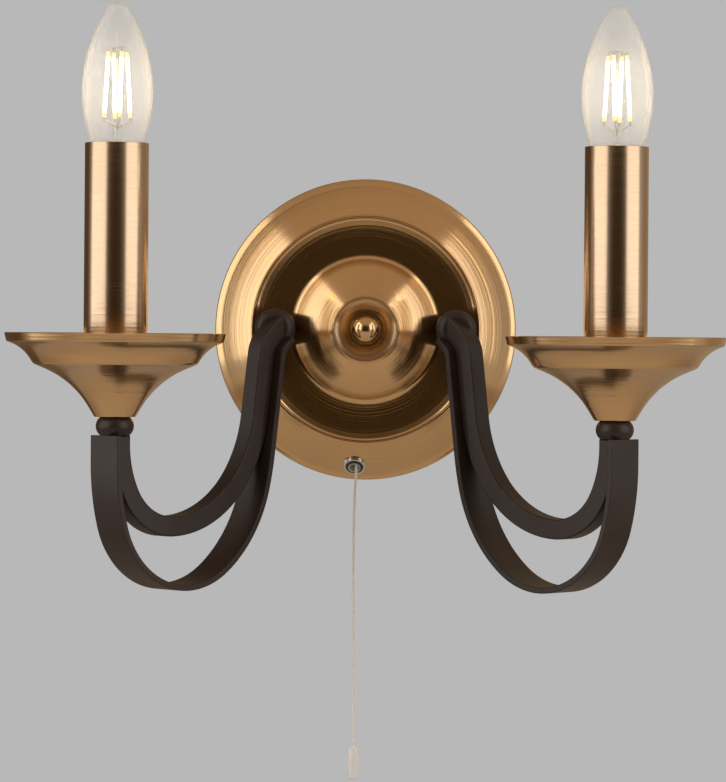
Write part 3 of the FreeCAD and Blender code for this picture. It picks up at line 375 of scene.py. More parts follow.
@dataclass(frozen=True)
class PlainMetal(Finish):
    """Plated or bare metal with fine scratches and a mottled tone."""

    tone: Colour = (0.4, 0.4, 0.4)
    mottle_count: float = 160.0
    grain_count: float = 3000.0
    grain_height: float = 0.000006

    def surface(self, shader: Shader) -> Link:
        """Mottled tone, uneven gloss and a fine bump."""
        x, y, z = shader.place(Vector((0.0, 0.0, 0.0)))
        where = shader.vector(x, y, z)
        patches = shader.noise(where, self.mottle_count, 3.0)
        grain = shader.noise(where, self.grain_count, 2.0, 0.6)
        colour = shader.blend(patches.ramp(0.3, 0.75), rgba(self.colour), rgba(self.tone))
        rough = self.roughness + (patches - 0.5) * 0.12 + (grain - 0.5) * 0.08
        return self.principled(shader, {"Base Color": colour, "Roughness": rough,
                                        "Normal": shader.bump(grain, self.grain_height)})


@dataclass(frozen=True)
class Moulded(Finish):
    """Moulded plastic or porcelain with a faint grain."""

    tone: Colour = (0.5, 0.5, 0.5)
    flow_count: float = 60.0
    grain_count: float = 1500.0
    grain_height: float = 0.00001

    def surface(self, shader: Shader) -> Link:
        """Fine moulded grain and slow flow marks."""
        x, y, z = shader.place(Vector((0.0, 0.0, 0.0)))
        where = shader.vector(x, y, z)
        flow = shader.noise(where, self.flow_count, 2.0)
        grain = shader.noise(where, self.grain_count, 2.0, 0.6)
        colour = shader.blend(flow.ramp(0.35, 0.7), rgba(self.colour), rgba(self.tone))
        rough = self.roughness + (grain - 0.5) * 0.1
        return self.principled(shader, {"Base Color": colour, "Roughness": rough,
                                        "Normal": shader.bump(grain, self.grain_height)})


@dataclass(frozen=True)
class ClearGlass(Finish):
    """Thin blown glass: clear face on, paler towards its edge."""

    face_opacity: float = 0.14
    edge_opacity: float = 0.5
    edge_power: float = 2.2
    wave_count: float = 45.0
    wave_height: float = 0.00003

    def surface(self, shader: Shader) -> Link:
        """Opacity from the angle, with a slight waviness."""
        x, y, z = shader.place(Vector((0.0, 0.0, 0.0)))
        waves = shader.noise(shader.vector(x, y, z), self.wave_count, 1.0)
        facing = shader.node("ShaderNodeLayerWeight", {}, {"Blend": 0.5}, "Facing")
        edge = (facing ** self.edge_power) * self.edge_opacity
        opacity = self.face_opacity + edge + (waves - 0.5) * 0.03
        return self.principled(shader, {"Alpha": opacity, "Roughness": 0.03 + waves * 0.03,
                                        "Normal": shader.bump(waves, self.wave_height)})


@dataclass(frozen=True)
class Glow(Finish):
    """Phosphor sticks: a bright middle and yellow ends."""

    low: float = 0.0
    high: float = 1.0
    end_length: float = 0.004
    end_colour: Colour = (1.0, 0.62, 0.12)
    end_level: float = 0.13
    strength: float = 9.0
    grain_count: float = 2500.0

    def surface(self, shader: Shader) -> Link:
        """Emission by height, and faintly grainy phosphor."""
        x, y, z = shader.place(Vector((0.0, 0.0, 0.0)))
        begin = self.end_length * 0.4
        inside = (z - self.low).ramp(begin, self.end_length)
        inside = inside * (self.high - z).ramp(begin, self.end_length)
        grain = shader.noise(shader.vector(x, y, z), self.grain_count, 2.0)
        lit = shader.blend(inside, rgba(self.end_colour), rgba(self.colour))
        dimmed = shader.blend(inside, rgba((self.end_level,) * 3), (1.0, 1.0, 1.0, 1.0))
        glow = shader.node("ShaderNodeMix", {"data_type": "RGBA", "blend_type": "MULTIPLY"},
                           {0: 1.0, 6: lit, 7: dimmed}, 2)
        tone = shader.blend(grain, (1.0, 0.75, 0.3, 1.0), (1.0, 0.85, 0.45, 1.0))
        return self.principled(shader, {"Base Color": tone, "Emission Color": glow,
                                        "Emission Strength": self.strength})


@dataclass(frozen=True)
class TwistedCord(Finish):
    """Thin laid cord: fine strands that wind round it."""

    tone: Colour = (0.6, 0.6, 0.58)
    centre: tuple[float, float, float] = (-0.005, -0.0121, 0.0)
    pitch: float = 0.0016
    slant: float = 2600.0
    fuzz_count: float = 5000.0
    strand_height: float = 0.0001

    def surface(self, shader: Shader) -> Link:
        """Strands from the height and the place round the cord; the colour is darker where the strands dip,
        which is painted shade in the grooves between them.
        """
        x, y, z = shader.place(Vector(self.centre))
        strand = shader.node("ShaderNodeMath", {"operation": "SINE"},
                             {0: z * (2 * math.pi / self.pitch) + x * self.slant})
        lie = strand * 0.5 + 0.5
        fuzz = shader.noise(shader.vector(x, y, z), self.fuzz_count, 2.0)
        # Painted shade: the grooves between the strands get the darker tone and the crests the paler colour.
        colour = shader.blend(lie * 0.7 + fuzz * 0.3, rgba(self.tone), rgba(self.colour))
        return self.principled(shader, {"Base Color": colour, "Roughness": 0.62 + fuzz * 0.1,
                                        "Normal": shader.bump(lie + fuzz * 0.3, self.strand_height)})


# ------------------------------------------------------------------ outlines

def arc(centre: Point, radius: float, first: float, last: float, step: float = 5.0) -> list[Point]:
    """Points of an arc.

    Args:
        centre: Its centre.
        radius: Its radius.
        first: Its first angle in degrees.
        last: Its last angle.
        step: The largest angle between two points.

    Returns:
        The points, both ends included.
    """
    count = max(2, math.ceil(abs(last - first) / step))
    angles = [math.radians(first + (last - first) * index / count) for index in range(count + 1)]
    return [(centre[0] + radius * math.cos(a), centre[1] + radius * math.sin(a)) for a in angles]


def eased(corners: Sequence[Point], radii: Sequence[float], step: float = 6.0) -> list[Point]:
    """Outline with rounded corners.

    Args:
        corners: The corners, ends included.
        radii: The round of each corner between the ends; 0 keeps it sharp.
        step: The largest angle between two points of a round.

    Returns:
        The points of the outline.
    """
    points = [corners[0]]
    for before, corner, after, radius in zip(corners, corners[1:], corners[2:], radii):
        a = (Vector(corner) - Vector(before)).normalized()
        b = (Vector(after) - Vector(corner)).normalized()
        turn = math.atan2(a.x * b.y - a.y * b.x, a.dot(b))
        if radius <= 0 or abs(turn) < 1e-4:
            points.append(corner)
            continue
        entry = Vector(corner) - a * radius * math.tan(abs(turn) / 2)
        side = 1.0 if turn > 0 else -1.0
        centre = entry + Vector((-a.y, a.x)) * radius * side
        first = math.degrees(math.atan2(entry.y - centre.y, entry.x - centre.x))
        points += arc((centre.x, centre.y), radius, first, first + math.degrees(turn), step)
    points.append(corners[-1])
    return points


def bowed(first: Point, last: Point, rise: float, count: int = 9) -> list[Point]:
    """Points of a shallow bow that bulges to the right of its way.

    Args:
        first: Its first end.
        last: Its last end.
        rise: How far its middle stands off the straight line.
        count: Number of points after the first.

    Returns:
        The points, both ends included.
    """
    start, way = Vector(first), Vector(last) - Vector(first)
    right = Vector((way.y, -way.x)).normalized()
    shares = [index / count for index in range(count + 1)]
    return [tuple(start + way * t + right * (4 * rise * t * (1 - t))) for t in shares]


def sheet(outline: Sequence[Point], thickness: float) -> list[Point]:
    """Closed section of a sheet.

    Args:
        outline: One face of the sheet.
        thickness: Its thickness, to the left of the outline if positive.

    Returns:
        The section, ending on its first point.
    """
    points = [Vector(p) for index, p in enumerate(outline)
              if index == 0 or (Vector(p) - Vector(outline[index - 1])).length > 1e-4]
    inner = []
    for index, point in enumerate(points):
        a = (point - points[index - 1]).normalized() if index > 0 else None
        b = (points[index + 1] - point).normalized() if index + 1 < len(points) else None
        a = a or b
        b = b or a
        normal = Vector((-(a.y + b.y), a.x + b.x)).normalized()
        inner.append(point + normal * (thickness / max(0.3, normal.dot(Vector((-a.y, a.x))))))
    closed = [tuple(p) for p in points] + [tuple(p) for p in reversed(inner)]
    return closed + [closed[0]]


# ------------------------------------------------------------------ modelling by hand

class Bench:
    """Where pieces are modelled and dressed."""

    @staticmethod
    def clear() -> None:
        """Deselects all."""
        bpy.ops.object.select_all(action="DESELECT")

    @staticmethod
    def settle(piece: bpy.types.Object, place: Matrix) -> None:
        """Puts a piece in its place and writes the place into its mesh.

        Args:
            piece: The piece.
            place: Its place.
        """
        Bench.clear()
        piece.select_set(True)
        bpy.context.view_layer.objects.active = piece
        piece.matrix_world = place
        bpy.ops.object.transform_apply(location=True, rotation=True, scale=True)

    @staticmethod
    def lathe(name: str, outline: Sequence[Point], place: Matrix, steps: int = 96,
              sharp: float = 32.0) -> bpy.types.Object:
        """Turns an outline about the local Z axis.

        Args:
            name: The piece's name.
            outline: Radius and height of each point, in millimetres.
            place: Where the local frame goes.
            steps: Number of divisions round the axis.
            sharp: The angle in degrees past which an edge stays sharp.

        Returns:
            The piece.
        """
        Bench.clear()
        bpy.ops.mesh.primitive_plane_add(size=0.001, location=(0, 0, 0))
        piece = bpy.context.active_object
        piece.name = name
        piece.data.name = name
        bpy.ops.object.mode_set(mode="EDIT")
        bpy.ops.mesh.select_all(action="SELECT")
        bpy.ops.mesh.merge(type="CENTER")
        points = [Vector((max(0.0, r) * MM, 0.0, h * MM)) for r, h in outline]
        bpy.ops.transform.translate(value=points[0])
        for before, after in zip(points, points[1:]):
            bpy.ops.mesh.extrude_region_move(TRANSFORM_OT_translate={"value": after - before})
        bpy.ops.mesh.select_all(action="SELECT")
        bpy.ops.mesh.remove_doubles(threshold=1e-7)
        bpy.ops.mesh.select_all(action="SELECT")
        bpy.ops.mesh.spin(steps=steps, angle=2 * math.pi, center=(0, 0, 0), axis=(0, 0, 1))
        bpy.ops.mesh.select_all(action="SELECT")
        bpy.ops.mesh.remove_doubles(threshold=1e-6)
        bpy.ops.mesh.normals_make_consistent(inside=False)
        bpy.ops.object.mode_set(mode="OBJECT")
        Bench.settle(piece, place)
        bpy.ops.object.shade_smooth_by_angle(angle=math.radians(sharp))
        return piece

    @staticmethod
    def drill(piece: bpy.types.Object, place: Matrix, radius: float, reach: float, sharp: float) -> None:
        """Drills a round hole through a piece.

        Args:
            piece: The piece.
            place: The hole's own frame, with Z along it.
            radius: Its radius in millimetres.
            reach: How far the drill reaches each way in millimetres.
            sharp: The angle in degrees past which an edge stays sharp.
        """
        Bench.clear()
        bpy.ops.mesh.primitive_cylinder_add(vertices=48, radius=radius * MM, depth=2 * reach * MM)
        bit = bpy.context.active_object
        Bench.settle(bit, place)
        Bench.clear()
        piece.select_set(True)
        bpy.context.view_layer.objects.active = piece
        cut = piece.modifiers.new("hole", "BOOLEAN")
        cut.operation = "DIFFERENCE"
        cut.solver = "EXACT"
        cut.object = bit
        bpy.ops.object.modifier_apply(modifier=cut.name)
        bpy.data.objects.remove(bit, do_unlink=True)
        bpy.ops.object.shade_smooth_by_angle(angle=math.radians(sharp))

    @staticmethod
    def rod(name: str, start: Vector, end: Vector, radius: float, edge: float = 0.0,
            sides: int = 16) -> bpy.types.Object:
        """Straight rod between two points in metres, with rounded ends.

        Args:
            name: The piece's name.
            start: Its first end.
            end: Its other end.
            radius: Its radius in millimetres.
            edge: The round of its ends in millimetres.
            sides: Number of divisions round it.

        Returns:
            The piece.
        """
        length = (end - start).length / MM
        edge = min(edge or radius * 0.3, radius * 0.98)
        outline = eased([(0.0, 0.0), (radius, 0.0), (radius, length), (0.0, length)], [edge, edge], 30.0)
        turn = Vector((0, 0, 1)).rotation_difference((end - start).normalized())
        return Bench.lathe(name, outline, Matrix.Translation(start) @ turn.to_matrix().to_4x4(), sides, 60.0)

    @staticmethod
    def join(pieces: Sequence[bpy.types.Object], name: str) -> bpy.types.Object:
        """Joins pieces into the first.

        Args:
            pieces: The pieces.
            name: The name of the whole.

        Returns:
            The whole.
        """
        Bench.clear()
        for piece in pieces:
            piece.select_set(True)
        bpy.context.view_layer.objects.active = pieces[0]
        bpy.ops.object.join()
        pieces[0].name = name
        pieces[0].data.name = name
        return pieces[0]

    @staticmethod
    def dress(piece: bpy.types.Object, material: bpy.types.Material) -> None:
        """Gives a piece its only material.

        Args:
            piece: The piece.
            material: The material.
        """
        piece.data.materials.clear()
        piece.data.materials.append(material)

    @staticmethod
    def fit(piece: bpy.types.Object, node: str, slot: str, material: bpy.types.Material) -> None:
        """Dresses a piece, lets it ride on its node's body and stand for the node.

        Args:
            piece: The piece.
            node: The node that it stands for.
            slot: The record's material slot; not used.
            material: The material.
        """
        Bench.dress(piece, material)
        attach(piece, frame["nodes"][node]["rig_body"])
        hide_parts(node)
        log.info("piece %s stands for %s: %d faces", piece.name, node, len(piece.data.polygons))


def finish_nodes(material: bpy.types.Material, nodes: Sequence[str]) -> None:
    """Gives nodes of the frame a material.

    Args:
        material: The material.
        nodes: The nodes' names.
    """
    for node in nodes:
        for slot in frame["nodes"][node].material_slots:
            slot.material = material


# ------------------------------------------------------------------ backplate and its nut

@dataclass
class Plate:
    """Spun plate with a rolled rim, a sloped flange, a dished ring, a dome and a dished cap."""

    radius: float = 77.5
    rim: float = 4.6
    rim_round: float = 1.6
    step: float = 75.75
    crease: float = 75.0
    crease_width: float = 1.0
    flange_bow: float = 0.65
    ring: float = 57.8
    ring_depth: float = 22.0
    dish: float = 47.0
    dish_depth: float = 20.5
    dome: float = 36.8
    sphere: float = 46.2
    cove: float = 4.5
    cap: float = 16.2
    cap_sink: float = 2.0
    cap_floor: float = 10.3
    cap_round: float = 14.0
    bead: float = 0.9
    hole: float = 3.1
    thickness: float = 1.0
    sharp: float = 28.0
    arm_offset: float = 46.0
    arm_hole: float = 5.1
    switch_hole: float = 4.4
    drill_reach: float = 6.0
    place: Matrix = field(default_factory=lambda: Matrix.Rotation(math.pi / 2, 4, "X"))

    def outline(self) -> list[Point]:
        """The plate's outer face, from the wall to the stud hole."""
        flange = Vector((self.ring - self.step, self.ring_depth - self.rim)).normalized()
        width, sink = self.ring - self.dish, self.ring_depth - self.dish_depth
        curve = (width ** 2 + sink ** 2) / (2 * sink)
        tilt = math.degrees(math.asin(width / curve))
        rise = math.sqrt(self.sphere ** 2 - self.dome ** 2)
        middle = self.dish_depth - rise
        cap_depth = middle + math.sqrt(self.sphere ** 2 - self.cap ** 2)

        roll = (self.radius - self.rim_round, self.rim - self.rim_round)
        points = [(self.radius, 0.0)] + arc(roll, self.rim_round, 0.0, self.crease, 8)
        foot = points[-1][0] - self.crease_width
        seam = (foot, self.rim + (foot - self.step) * flange.y / flange.x)
        shoulder = (self.ring - flange.x * self.bead, self.ring_depth - flange.y * self.bead)
        points += bowed(seam, shoulder, self.flange_bow)
        start = math.degrees(math.atan2(-flange.y, -flange.x))
        points += arc((self.ring, self.ring_depth), self.bead, start, 180 + tilt, 20)[1:-1]
        dish = arc((self.dish, self.dish_depth + curve), curve, tilt - 90, -90, 1.2)
        points += [p for p in dish if math.dist(p, (self.ring, self.ring_depth)) > self.bead]

        reach = self.sphere + self.cove
        cove_depth = self.dish_depth + self.cove
        cove_radius = math.sqrt(reach ** 2 - (cove_depth - middle) ** 2)
        foot = math.degrees(math.atan2(cove_depth - middle, cove_radius))
        points += arc((cove_radius, cove_depth), self.cove, 270, 180 + foot, 8)
        top = math.degrees(math.acos(self.cap / self.sphere))
        dome = arc((0.0, middle), self.sphere, foot, top, 1.5)
        points += [p for p in dome[1:] if math.dist(p, (self.cap, cap_depth)) > self.bead]
        edge = math.degrees(math.atan2(self.cap_sink, self.cap - self.cap_floor))
        points += arc((self.cap, cap_depth), self.bead, top - 80, 180 + edge, 20)
        floor = cap_depth - self.cap_sink
        points += eased([(self.cap, cap_depth), (self.cap_floor, floor), (self.hole, floor)],
                        [self.cap_round], 1.5)[1:]
        return points

    def build(self, brass: bpy.types.Material) -> None:
        """Spins the plate and lets it stand for its node.

        Args:
            brass: The plate's material.
        """
        section = sheet(self.outline(), self.thickness)
        plate = Bench.lathe("spun_backplate", section, self.place, 192, self.sharp)
        for side in SIDES.values():
            axis = Matrix.Translation(Vector((side * self.arm_offset, -self.dish_depth, 0.0)) * MM)
            Bench.drill(plate, axis @ self.place, self.arm_hole, self.drill_reach, self.sharp)
        Bench.drill(plate, CordSwitch().place, self.switch_hole, self.drill_reach, self.sharp)
        Bench.fit(plate, "backplate", "brass", brass)


@dataclass
class Finial:
    """Ball nut on the centre stud."""

    floor: float = 33.835
    collar: float = 5.7
    collar_height: float = 1.6
    ball: float = 7.1
    undercut: float = 38.0
    bore: float = 3.05
    bore_depth: float = 11.1
    place: Matrix = field(default_factory=lambda: Matrix.Rotation(math.pi / 2, 4, "X"))

    def build(self, brass: bpy.types.Material) -> None:
        """Turns the ball and its collar.

        Args:
            brass: The nut's material.
        """
        middle = self.floor + self.collar_height + self.ball * math.cos(math.radians(self.undercut))
        seat = math.degrees(math.asin(self.collar / self.ball))
        outline = [(self.bore, self.floor), (self.collar - 0.4, self.floor), (self.collar, self.floor + 0.4)]
        outline += [(self.collar, self.floor + 1.2), (self.collar - 0.4, self.floor + self.collar_height)]
        outline += arc((0.0, middle), self.ball, seat - 100, 90, 5)
        outline[-1] = (0.0, middle + self.ball)
        bottom = self.floor + self.bore_depth
        outline += [(0.0, bottom), (self.bore, bottom), (self.bore, self.floor)]
        nut = Bench.lathe("ball_nut", outline, self.place, 64, 40.0)
        Bench.fit(nut, "finial_nut", "brass", brass)


# ------------------------------------------------------------------ candles

@dataclass
class Candle:
    """Bead, drip pan, sleeve and bulb on one arm's end."""

    side: str
    x: float = 121.519
    y: float = -108.019
    pan_top: float = -3.1
    pan_depth: float = 40.6
    pan_wall: float = 1.0
    bead_foot: float = -52.7
    bead_height: float = 9.0
    bead_radius: float = 9.3
    bead_seat: float = 7.0
    pipe: float = 5.05
    sleeve_radius: float = 15.55
    sleeve_wall: float = 0.7
    sleeve_foot: float = -33.21
    sleeve_top: float = 89.39
    glass_foot: float = 77.72
    glass_neck: float = 8.2
    glass_heading: float = 66.4
    glass_run: float = 8.7
    glass_lower: float = 70.0
    glass_upper: float = 76.0
    glass_tip: float = 120.0
    glass_tip_run: float = 3.8
    glass_wall: float = 0.8
    stem_height: float = 20.5
    stick_radius: float = 0.85
    stick_round: float = 0.5
    stick_length: float = 32.0
    stick_start: float = 24.0
    foot_circle: float = 6.4
    head_circle: float = 4.9
    first_angle: float = 14.0
    twist: float = 14.0
    clip_radius: float = 0.45
    foot_clip: float = 2.2
    head_clip: float = 2.4
    clip_grip: float = 0.4
    wire_grip: float = 0.3
    wire_radius: float = 0.22
    wire_round: float = 0.1

    @property
    def sign(self) -> float:
        """-1 on the left and 1 on the right."""
        return SIDES[self.side]

    @property
    def axis(self) -> Vector:
        """A point of the candle's axis, in metres."""
        return Vector((self.sign * self.x * MM, self.y * MM, 0.0))

    @property
    def place(self) -> Matrix:
        """The candle's own frame."""
        return Matrix.Translation(self.axis)

    def node(self, name: str) -> str:
        """Name of one of this side's nodes."""
        return f"{self.side}_{name}"

    def build_pan(self, brass: bpy.types.Material) -> None:
        """Spins the drip pan.

        Args:
            brass: Its material.
        """
        corners = [(53.9, 0.0), (52.9, 4.0), (44.9, 6.9), (40.4, 14.1), (39.5, 15.0), (20.6, 23.0),
                   (10.0, self.pan_depth), (self.pipe + 0.05, self.pan_depth)]
        outline = eased([(r, self.pan_top - h) for r, h in corners], [0.8, 19.0, 0.25, 0.3, 45.0, 0.8], 2.0)
        section = sheet(outline, -self.pan_wall)
        pan = Bench.lathe(self.node("spun_pan"), section, self.place, 160, 28.0)
        Bench.fit(pan, self.node("drip_pan"), "brass", brass)

    def build_bead(self, paint: bpy.types.Material) -> None:
        """Turns the bead under the pan.

        Args:
            paint: Its material.
        """
        middle = self.bead_foot + self.bead_height / 2
        half, bulge = self.bead_height / 2, self.bead_radius - self.bead_seat
        curve = (half ** 2 + bulge ** 2) / (2 * bulge)
        reach = math.degrees(math.asin(half / curve))
        outline = [(self.pipe, self.bead_foot)]
        outline += arc((self.bead_radius - curve, middle), curve, -reach, reach, 6)
        outline += [(self.pipe, self.bead_foot + self.bead_height), (self.pipe, self.bead_foot)]
        bead = Bench.lathe(self.node("turned_bead"), outline, self.place, 64, 40.0)
        Bench.fit(bead, self.node("neck_bead"), "dark_bronze", paint)

    def build_sleeve(self, brass: bpy.types.Material) -> None:
        """Draws the candle's sleeve, with a slightly rounded mouth.

        Args:
            brass: Its material.
        """
        inner = self.sleeve_radius - self.sleeve_wall
        outline = eased([(inner, self.sleeve_foot), (self.sleeve_radius, self.sleeve_foot),
                         (self.sleeve_radius, self.sleeve_top), (inner, self.sleeve_top),
                         (inner, self.sleeve_foot)], [0.1, 0.25, 0.25], 30.0)
        sleeve = Bench.lathe(self.node("brushed_sleeve"), outline, self.place, 128, 35.0)
        Bench.fit(sleeve, self.node("candle_sleeve"), "brass", brass)

    def glass_outline(self) -> list[Point]:
        """Outside of the glass, from its neck to its tip."""
        heading = math.radians(self.glass_heading)
        points = [(self.glass_neck, self.glass_foot)]
        r = self.glass_neck + self.glass_run * math.cos(heading)
        z = self.glass_foot + self.glass_run * math.sin(heading)
        middle = (r - self.glass_lower * math.sin(heading), z + self.glass_lower * math.cos(heading))
        points += arc(middle, self.glass_lower, self.glass_heading - 90, 0, 2)
        r, z = points[-1]
        points += arc((r - self.glass_upper, z), self.glass_upper, 0, self.glass_tip - 90, 2)[1:]
        r, z = points[-1]
        tip = math.radians(self.glass_tip)
        r += self.glass_tip_run * math.cos(tip)
        z += self.glass_tip_run * math.sin(tip)
        round_tip = r / math.sin(tip)
        centre = z + round_tip * math.cos(tip)
        points += arc((0.0, centre), round_tip, self.glass_tip - 90, 90, 8)
        points[-1] = (0.0, centre + round_tip)
        return points

    def build_glass(self, glass: bpy.types.Material) -> None:
        """Blows the envelope and seals the stem into its foot.

        Args:
            glass: Their material.
        """
        outer = self.glass_outline()
        section = sheet(outer, self.glass_wall)
        tip = (0.0, outer[-1][1] - self.glass_wall)
        inner = [p for p in section[len(outer):-1] if p[0] > 0.4]
        closed = outer + [tip] + inner + [outer[0]]
        envelope = Bench.lathe(self.node("blown_glass"), closed, self.place, 96, 40.0)
        foot = self.glass_foot
        stem = [(0.35, foot + 0.3), (6.6, foot + 0.3), (6.9, foot + 0.9), (4.2, foot + 2.6)]
        stem += [(3.2, foot + 5.0), (1.9, foot + self.stem_height - 2.5)]
        stem += [(2.3, foot + self.stem_height - 1.2)]
        stem += [(1.5, foot + self.stem_height), (0.35, foot + self.stem_height), stem[0]]
        post = Bench.lathe(self.node("stem_glass"), stem, self.place, 32, 60.0)
        for piece in (envelope, post):
            Bench.fit(piece, self.node("bulb_glass"), "bulb_glass", glass)

    def stick_ends(self, index: int) -> tuple[Vector, Vector]:
        """Lower and upper end of one phosphor stick.

        Args:
            index: The stick's number.

        Returns:
            The two ends, in metres.
        """
        ends = []
        lower = (self.foot_circle, 0.0, 0.0)
        upper = (self.head_circle, self.twist, self.stick_length)
        for circle, turn, rise in (lower, upper):
            angle = math.radians(90.0 * index + self.first_angle + turn)
            x = circle * math.cos(angle) * (-self.sign)
            ends.append(self.axis + Vector((x, circle * math.sin(angle),
                                            self.glass_foot + self.stick_start + rise)) * MM)
        return ends[0], ends[1]

    def clip(self, name: str, start: Vector, end: Vector) -> bpy.types.Object:
        """Clip on a stick's end, between two points in metres."""
        return Bench.rod(name, start, end, self.clip_radius, self.wire_round, 10)

    def wire(self, name: str, start: Vector, end: Vector) -> bpy.types.Object:
        """Thin wire between two points in metres."""
        return Bench.rod(name, start, end, self.wire_radius, self.wire_round, 8)

    def build_light(self, nickel: bpy.types.Material) -> None:
        """Sets the phosphor sticks and the wires that carry them.

        Args:
            nickel: The wires' material.
        """
        low = (self.glass_foot + self.stick_start) * MM
        glow = Glow(self.node("phosphor"), (1.0, 0.86, 0.62), 0.5, low=low,
                    high=low + self.stick_length * MM).build()
        sticks, wires = [], []
        stem_top = self.axis + Vector((0, 0, (self.glass_foot + self.stem_height - 1.5) * MM))
        heads = []
        for index in range(4):
            foot, head = self.stick_ends(index)
            along = (head - foot).normalized()
            grip = along * (self.clip_grip * MM)
            sticks.append(Bench.rod(f"stick_{index}", foot, head, self.stick_radius, self.stick_round))
            low_clip = foot - along * (self.foot_clip * MM)
            high_clip = head + along * (self.head_clip * MM)
            wires.append(self.clip(f"foot_clip_{index}", low_clip, foot + grip))
            wires.append(self.wire(f"foot_wire_{index}", stem_top, low_clip + along * (self.wire_grip * MM)))
            wires.append(self.clip(f"head_clip_{index}", head - grip, high_clip))
            heads.append(high_clip - grip)
        crown = self.axis + Vector((0, 0, heads[0].z))
        for head in heads:
            wires.append(self.wire("crown_wire", head, crown))
        base = self.axis + Vector((0, 0, (self.glass_foot + self.stem_height - 3.0) * MM))
        wires.append(self.wire("post", base, crown))
        Bench.fit(Bench.join(sticks, self.node("phosphor_sticks")), self.node("bulb_filaments"),
                  "filament_yellow", glow)
        Bench.fit(Bench.join(wires, self.node("stick_wires")), self.node("bulb_wires"), "lamp_nickel", nickel)

    def build(self, paint: bpy.types.Material, glass: bpy.types.Material,
              nickel: bpy.types.Material) -> None:
        """Builds and dresses everything on this arm's end.

        Args:
            paint: The bead's material.
            glass: The bulb's glass.
            nickel: The material of the bulb's wires.
        """
        centre = tuple(self.axis)
        pan_brass = SpunMetal(self.node("pan_brass"), BRASS, 0.16, 1.0, tone=BRASS_TONE,
                              centre=centre).build()
        sleeve_brass = SpunMetal(self.node("sleeve_brass"), SLEEVE, 0.2, 1.0, tone=SLEEVE_TONE,
                                 centre=centre).build()
        self.build_pan(pan_brass)
        self.build_bead(paint)
        self.build_sleeve(sleeve_brass)
        self.build_glass(glass)
        self.build_light(nickel)


# ------------------------------------------------------------------ switch mouth and cord

@dataclass
class CordSwitch:
    """Ring nut, bush, pale liner, cord and pull."""

    mouth: tuple[float, float, float] = (-5.0901, -10.6585, -69.3133)
    bore: tuple[float, float, float] = (-0.050975, -0.718022, -0.694152)
    ring_radius: float = 6.0
    ring_height: float = 2.1
    bush_radius: float = 4.3
    bush_bore: float = 3.3
    bush_top: float = 2.6
    bush_foot: float = -3.2
    liner_radius: float = 3.2
    liner_lip: float = 2.75
    liner_throat: float = 1.8
    liner_top: float = 3.0
    cord_diameter: float = 1.4
    cord_length: float = 140.0
    cord_points: tuple[tuple[float, float, float], ...] = (
        (-4.2, -12.1, -73.3), (-4.85, -12.1, -81.779), (-5.2, -12.1, -92.779),
        (-5.35, -12.1, -109.779), (-5.3, -12.1, -138.779), (-4.55, -12.1, -213.279))
    pull_length: float = 17.5

    @property
    def place(self) -> Matrix:
        """The bush's own frame, with Z out of the mouth."""
        turn = Vector((0, 0, 1)).rotation_difference(Vector(self.bore).normalized())
        return Matrix.Translation(Vector(self.mouth) * MM) @ turn.to_matrix().to_4x4()

    def build_mouth(self, chrome: bpy.types.Material, dark: bpy.types.Material,
                    pale: bpy.types.Material) -> None:
        """Turns the ring nut, the bush and the liner.

        Args:
            chrome: The ring nut's material.
            dark: The bush's material.
            pale: The liner's material.
        """
        inner = self.bush_radius + 0.05
        ring = eased([(inner, 0.0), (self.ring_radius, 0.0), (self.ring_radius, 1.4),
                      (self.ring_radius - 0.7, self.ring_height), (inner + 0.3, self.ring_height),
                      (inner, self.ring_height - 0.3), (inner, 0.0)], [0.1, 0.4, 0.3, 0, 0], 20.0)
        Bench.fit(Bench.lathe("ring_nut", ring, self.place, 72), "switch_ring_nut", "ring_chrome", chrome)
        bush = eased([(self.bush_bore, self.bush_foot), (self.bush_radius, self.bush_foot),
                      (self.bush_radius, self.bush_top), (self.bush_bore, self.bush_top),
                      (self.bush_bore, self.bush_foot)], [0, 0.3, 0.2], 20.0)
        Bench.fit(Bench.lathe("bush", bush, self.place, 64), "switch_bush", "bare_brass", dark)
        liner = [(self.liner_throat, self.bush_foot), (self.liner_radius, self.bush_foot),
                 (self.liner_radius, self.liner_top - 0.2)]
        liner += [(self.liner_radius - 0.12, self.liner_top - 0.02), (self.liner_lip + 0.08, self.liner_top)]
        liner += [(self.liner_lip - 0.1, self.liner_top - 0.15), (2.35, 1.6), (2.0, 0.2),
                  (self.liner_throat, -1.3), liner[0]]
        # The liner's material is grey, which is painted shade for the shadow inside the mouth.
        Bench.fit(Bench.lathe("liner", liner, self.place, 64, 50.0), "cord_liner", "white_plastic", pale)

    def build_cord(self, laid: bpy.types.Material, pale: bpy.types.Material) -> None:
        """Hangs the cord as one smooth curve, with its pull.

        Args:
            laid: The cord's material.
            pale: The pull's material.
        """
        curve = bpy.data.curves.new("hanging_cord", "CURVE")
        curve.dimensions = "3D"
        curve.bevel_depth = self.cord_diameter / 2 * MM
        curve.bevel_resolution = 5
        curve.resolution_u = 24
        curve.use_fill_caps = True
        spline = curve.splines.new("NURBS")
        spline.points.add(len(self.cord_points) - 1)
        for point, place in zip(spline.points, self.cord_points):
            point.co = (place[0] * MM, place[1] * MM, place[2] * MM, 1.0)
        spline.order_u = 3
        spline.use_endpoint_u = True
        cord = bpy.data.objects.new("hanging_cord", curve)
        bpy.context.scene.collection.objects.link(cord)
        cord.data.materials.append(laid)

        end = Vector(self.cord_points[-1])
        length = self.pull_length
        outline = eased([(0.0, 0.05), (1.35, 0.05), (1.7, -0.3), (1.75, -0.6), (2.8, -1.4), (2.95, -6.2),
                         (2.35, -length), (0.0, -length)], [0.15, 0.15, 0.15, 0.5, 1.0, 0.9], 15.0)
        place = Matrix.Translation(end * MM)
        pull = Bench.lathe("moulded_pull", outline, place, 48, 45.0)
        Bench.fit(pull, "cord_pull", "white_plastic", pale)

        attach(cord, frame["nodes"]["pull_cord"]["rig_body"])
        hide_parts("pull_cord")
        log.info("cord hangs from the switch mouth")


# ------------------------------------------------------------------ studio

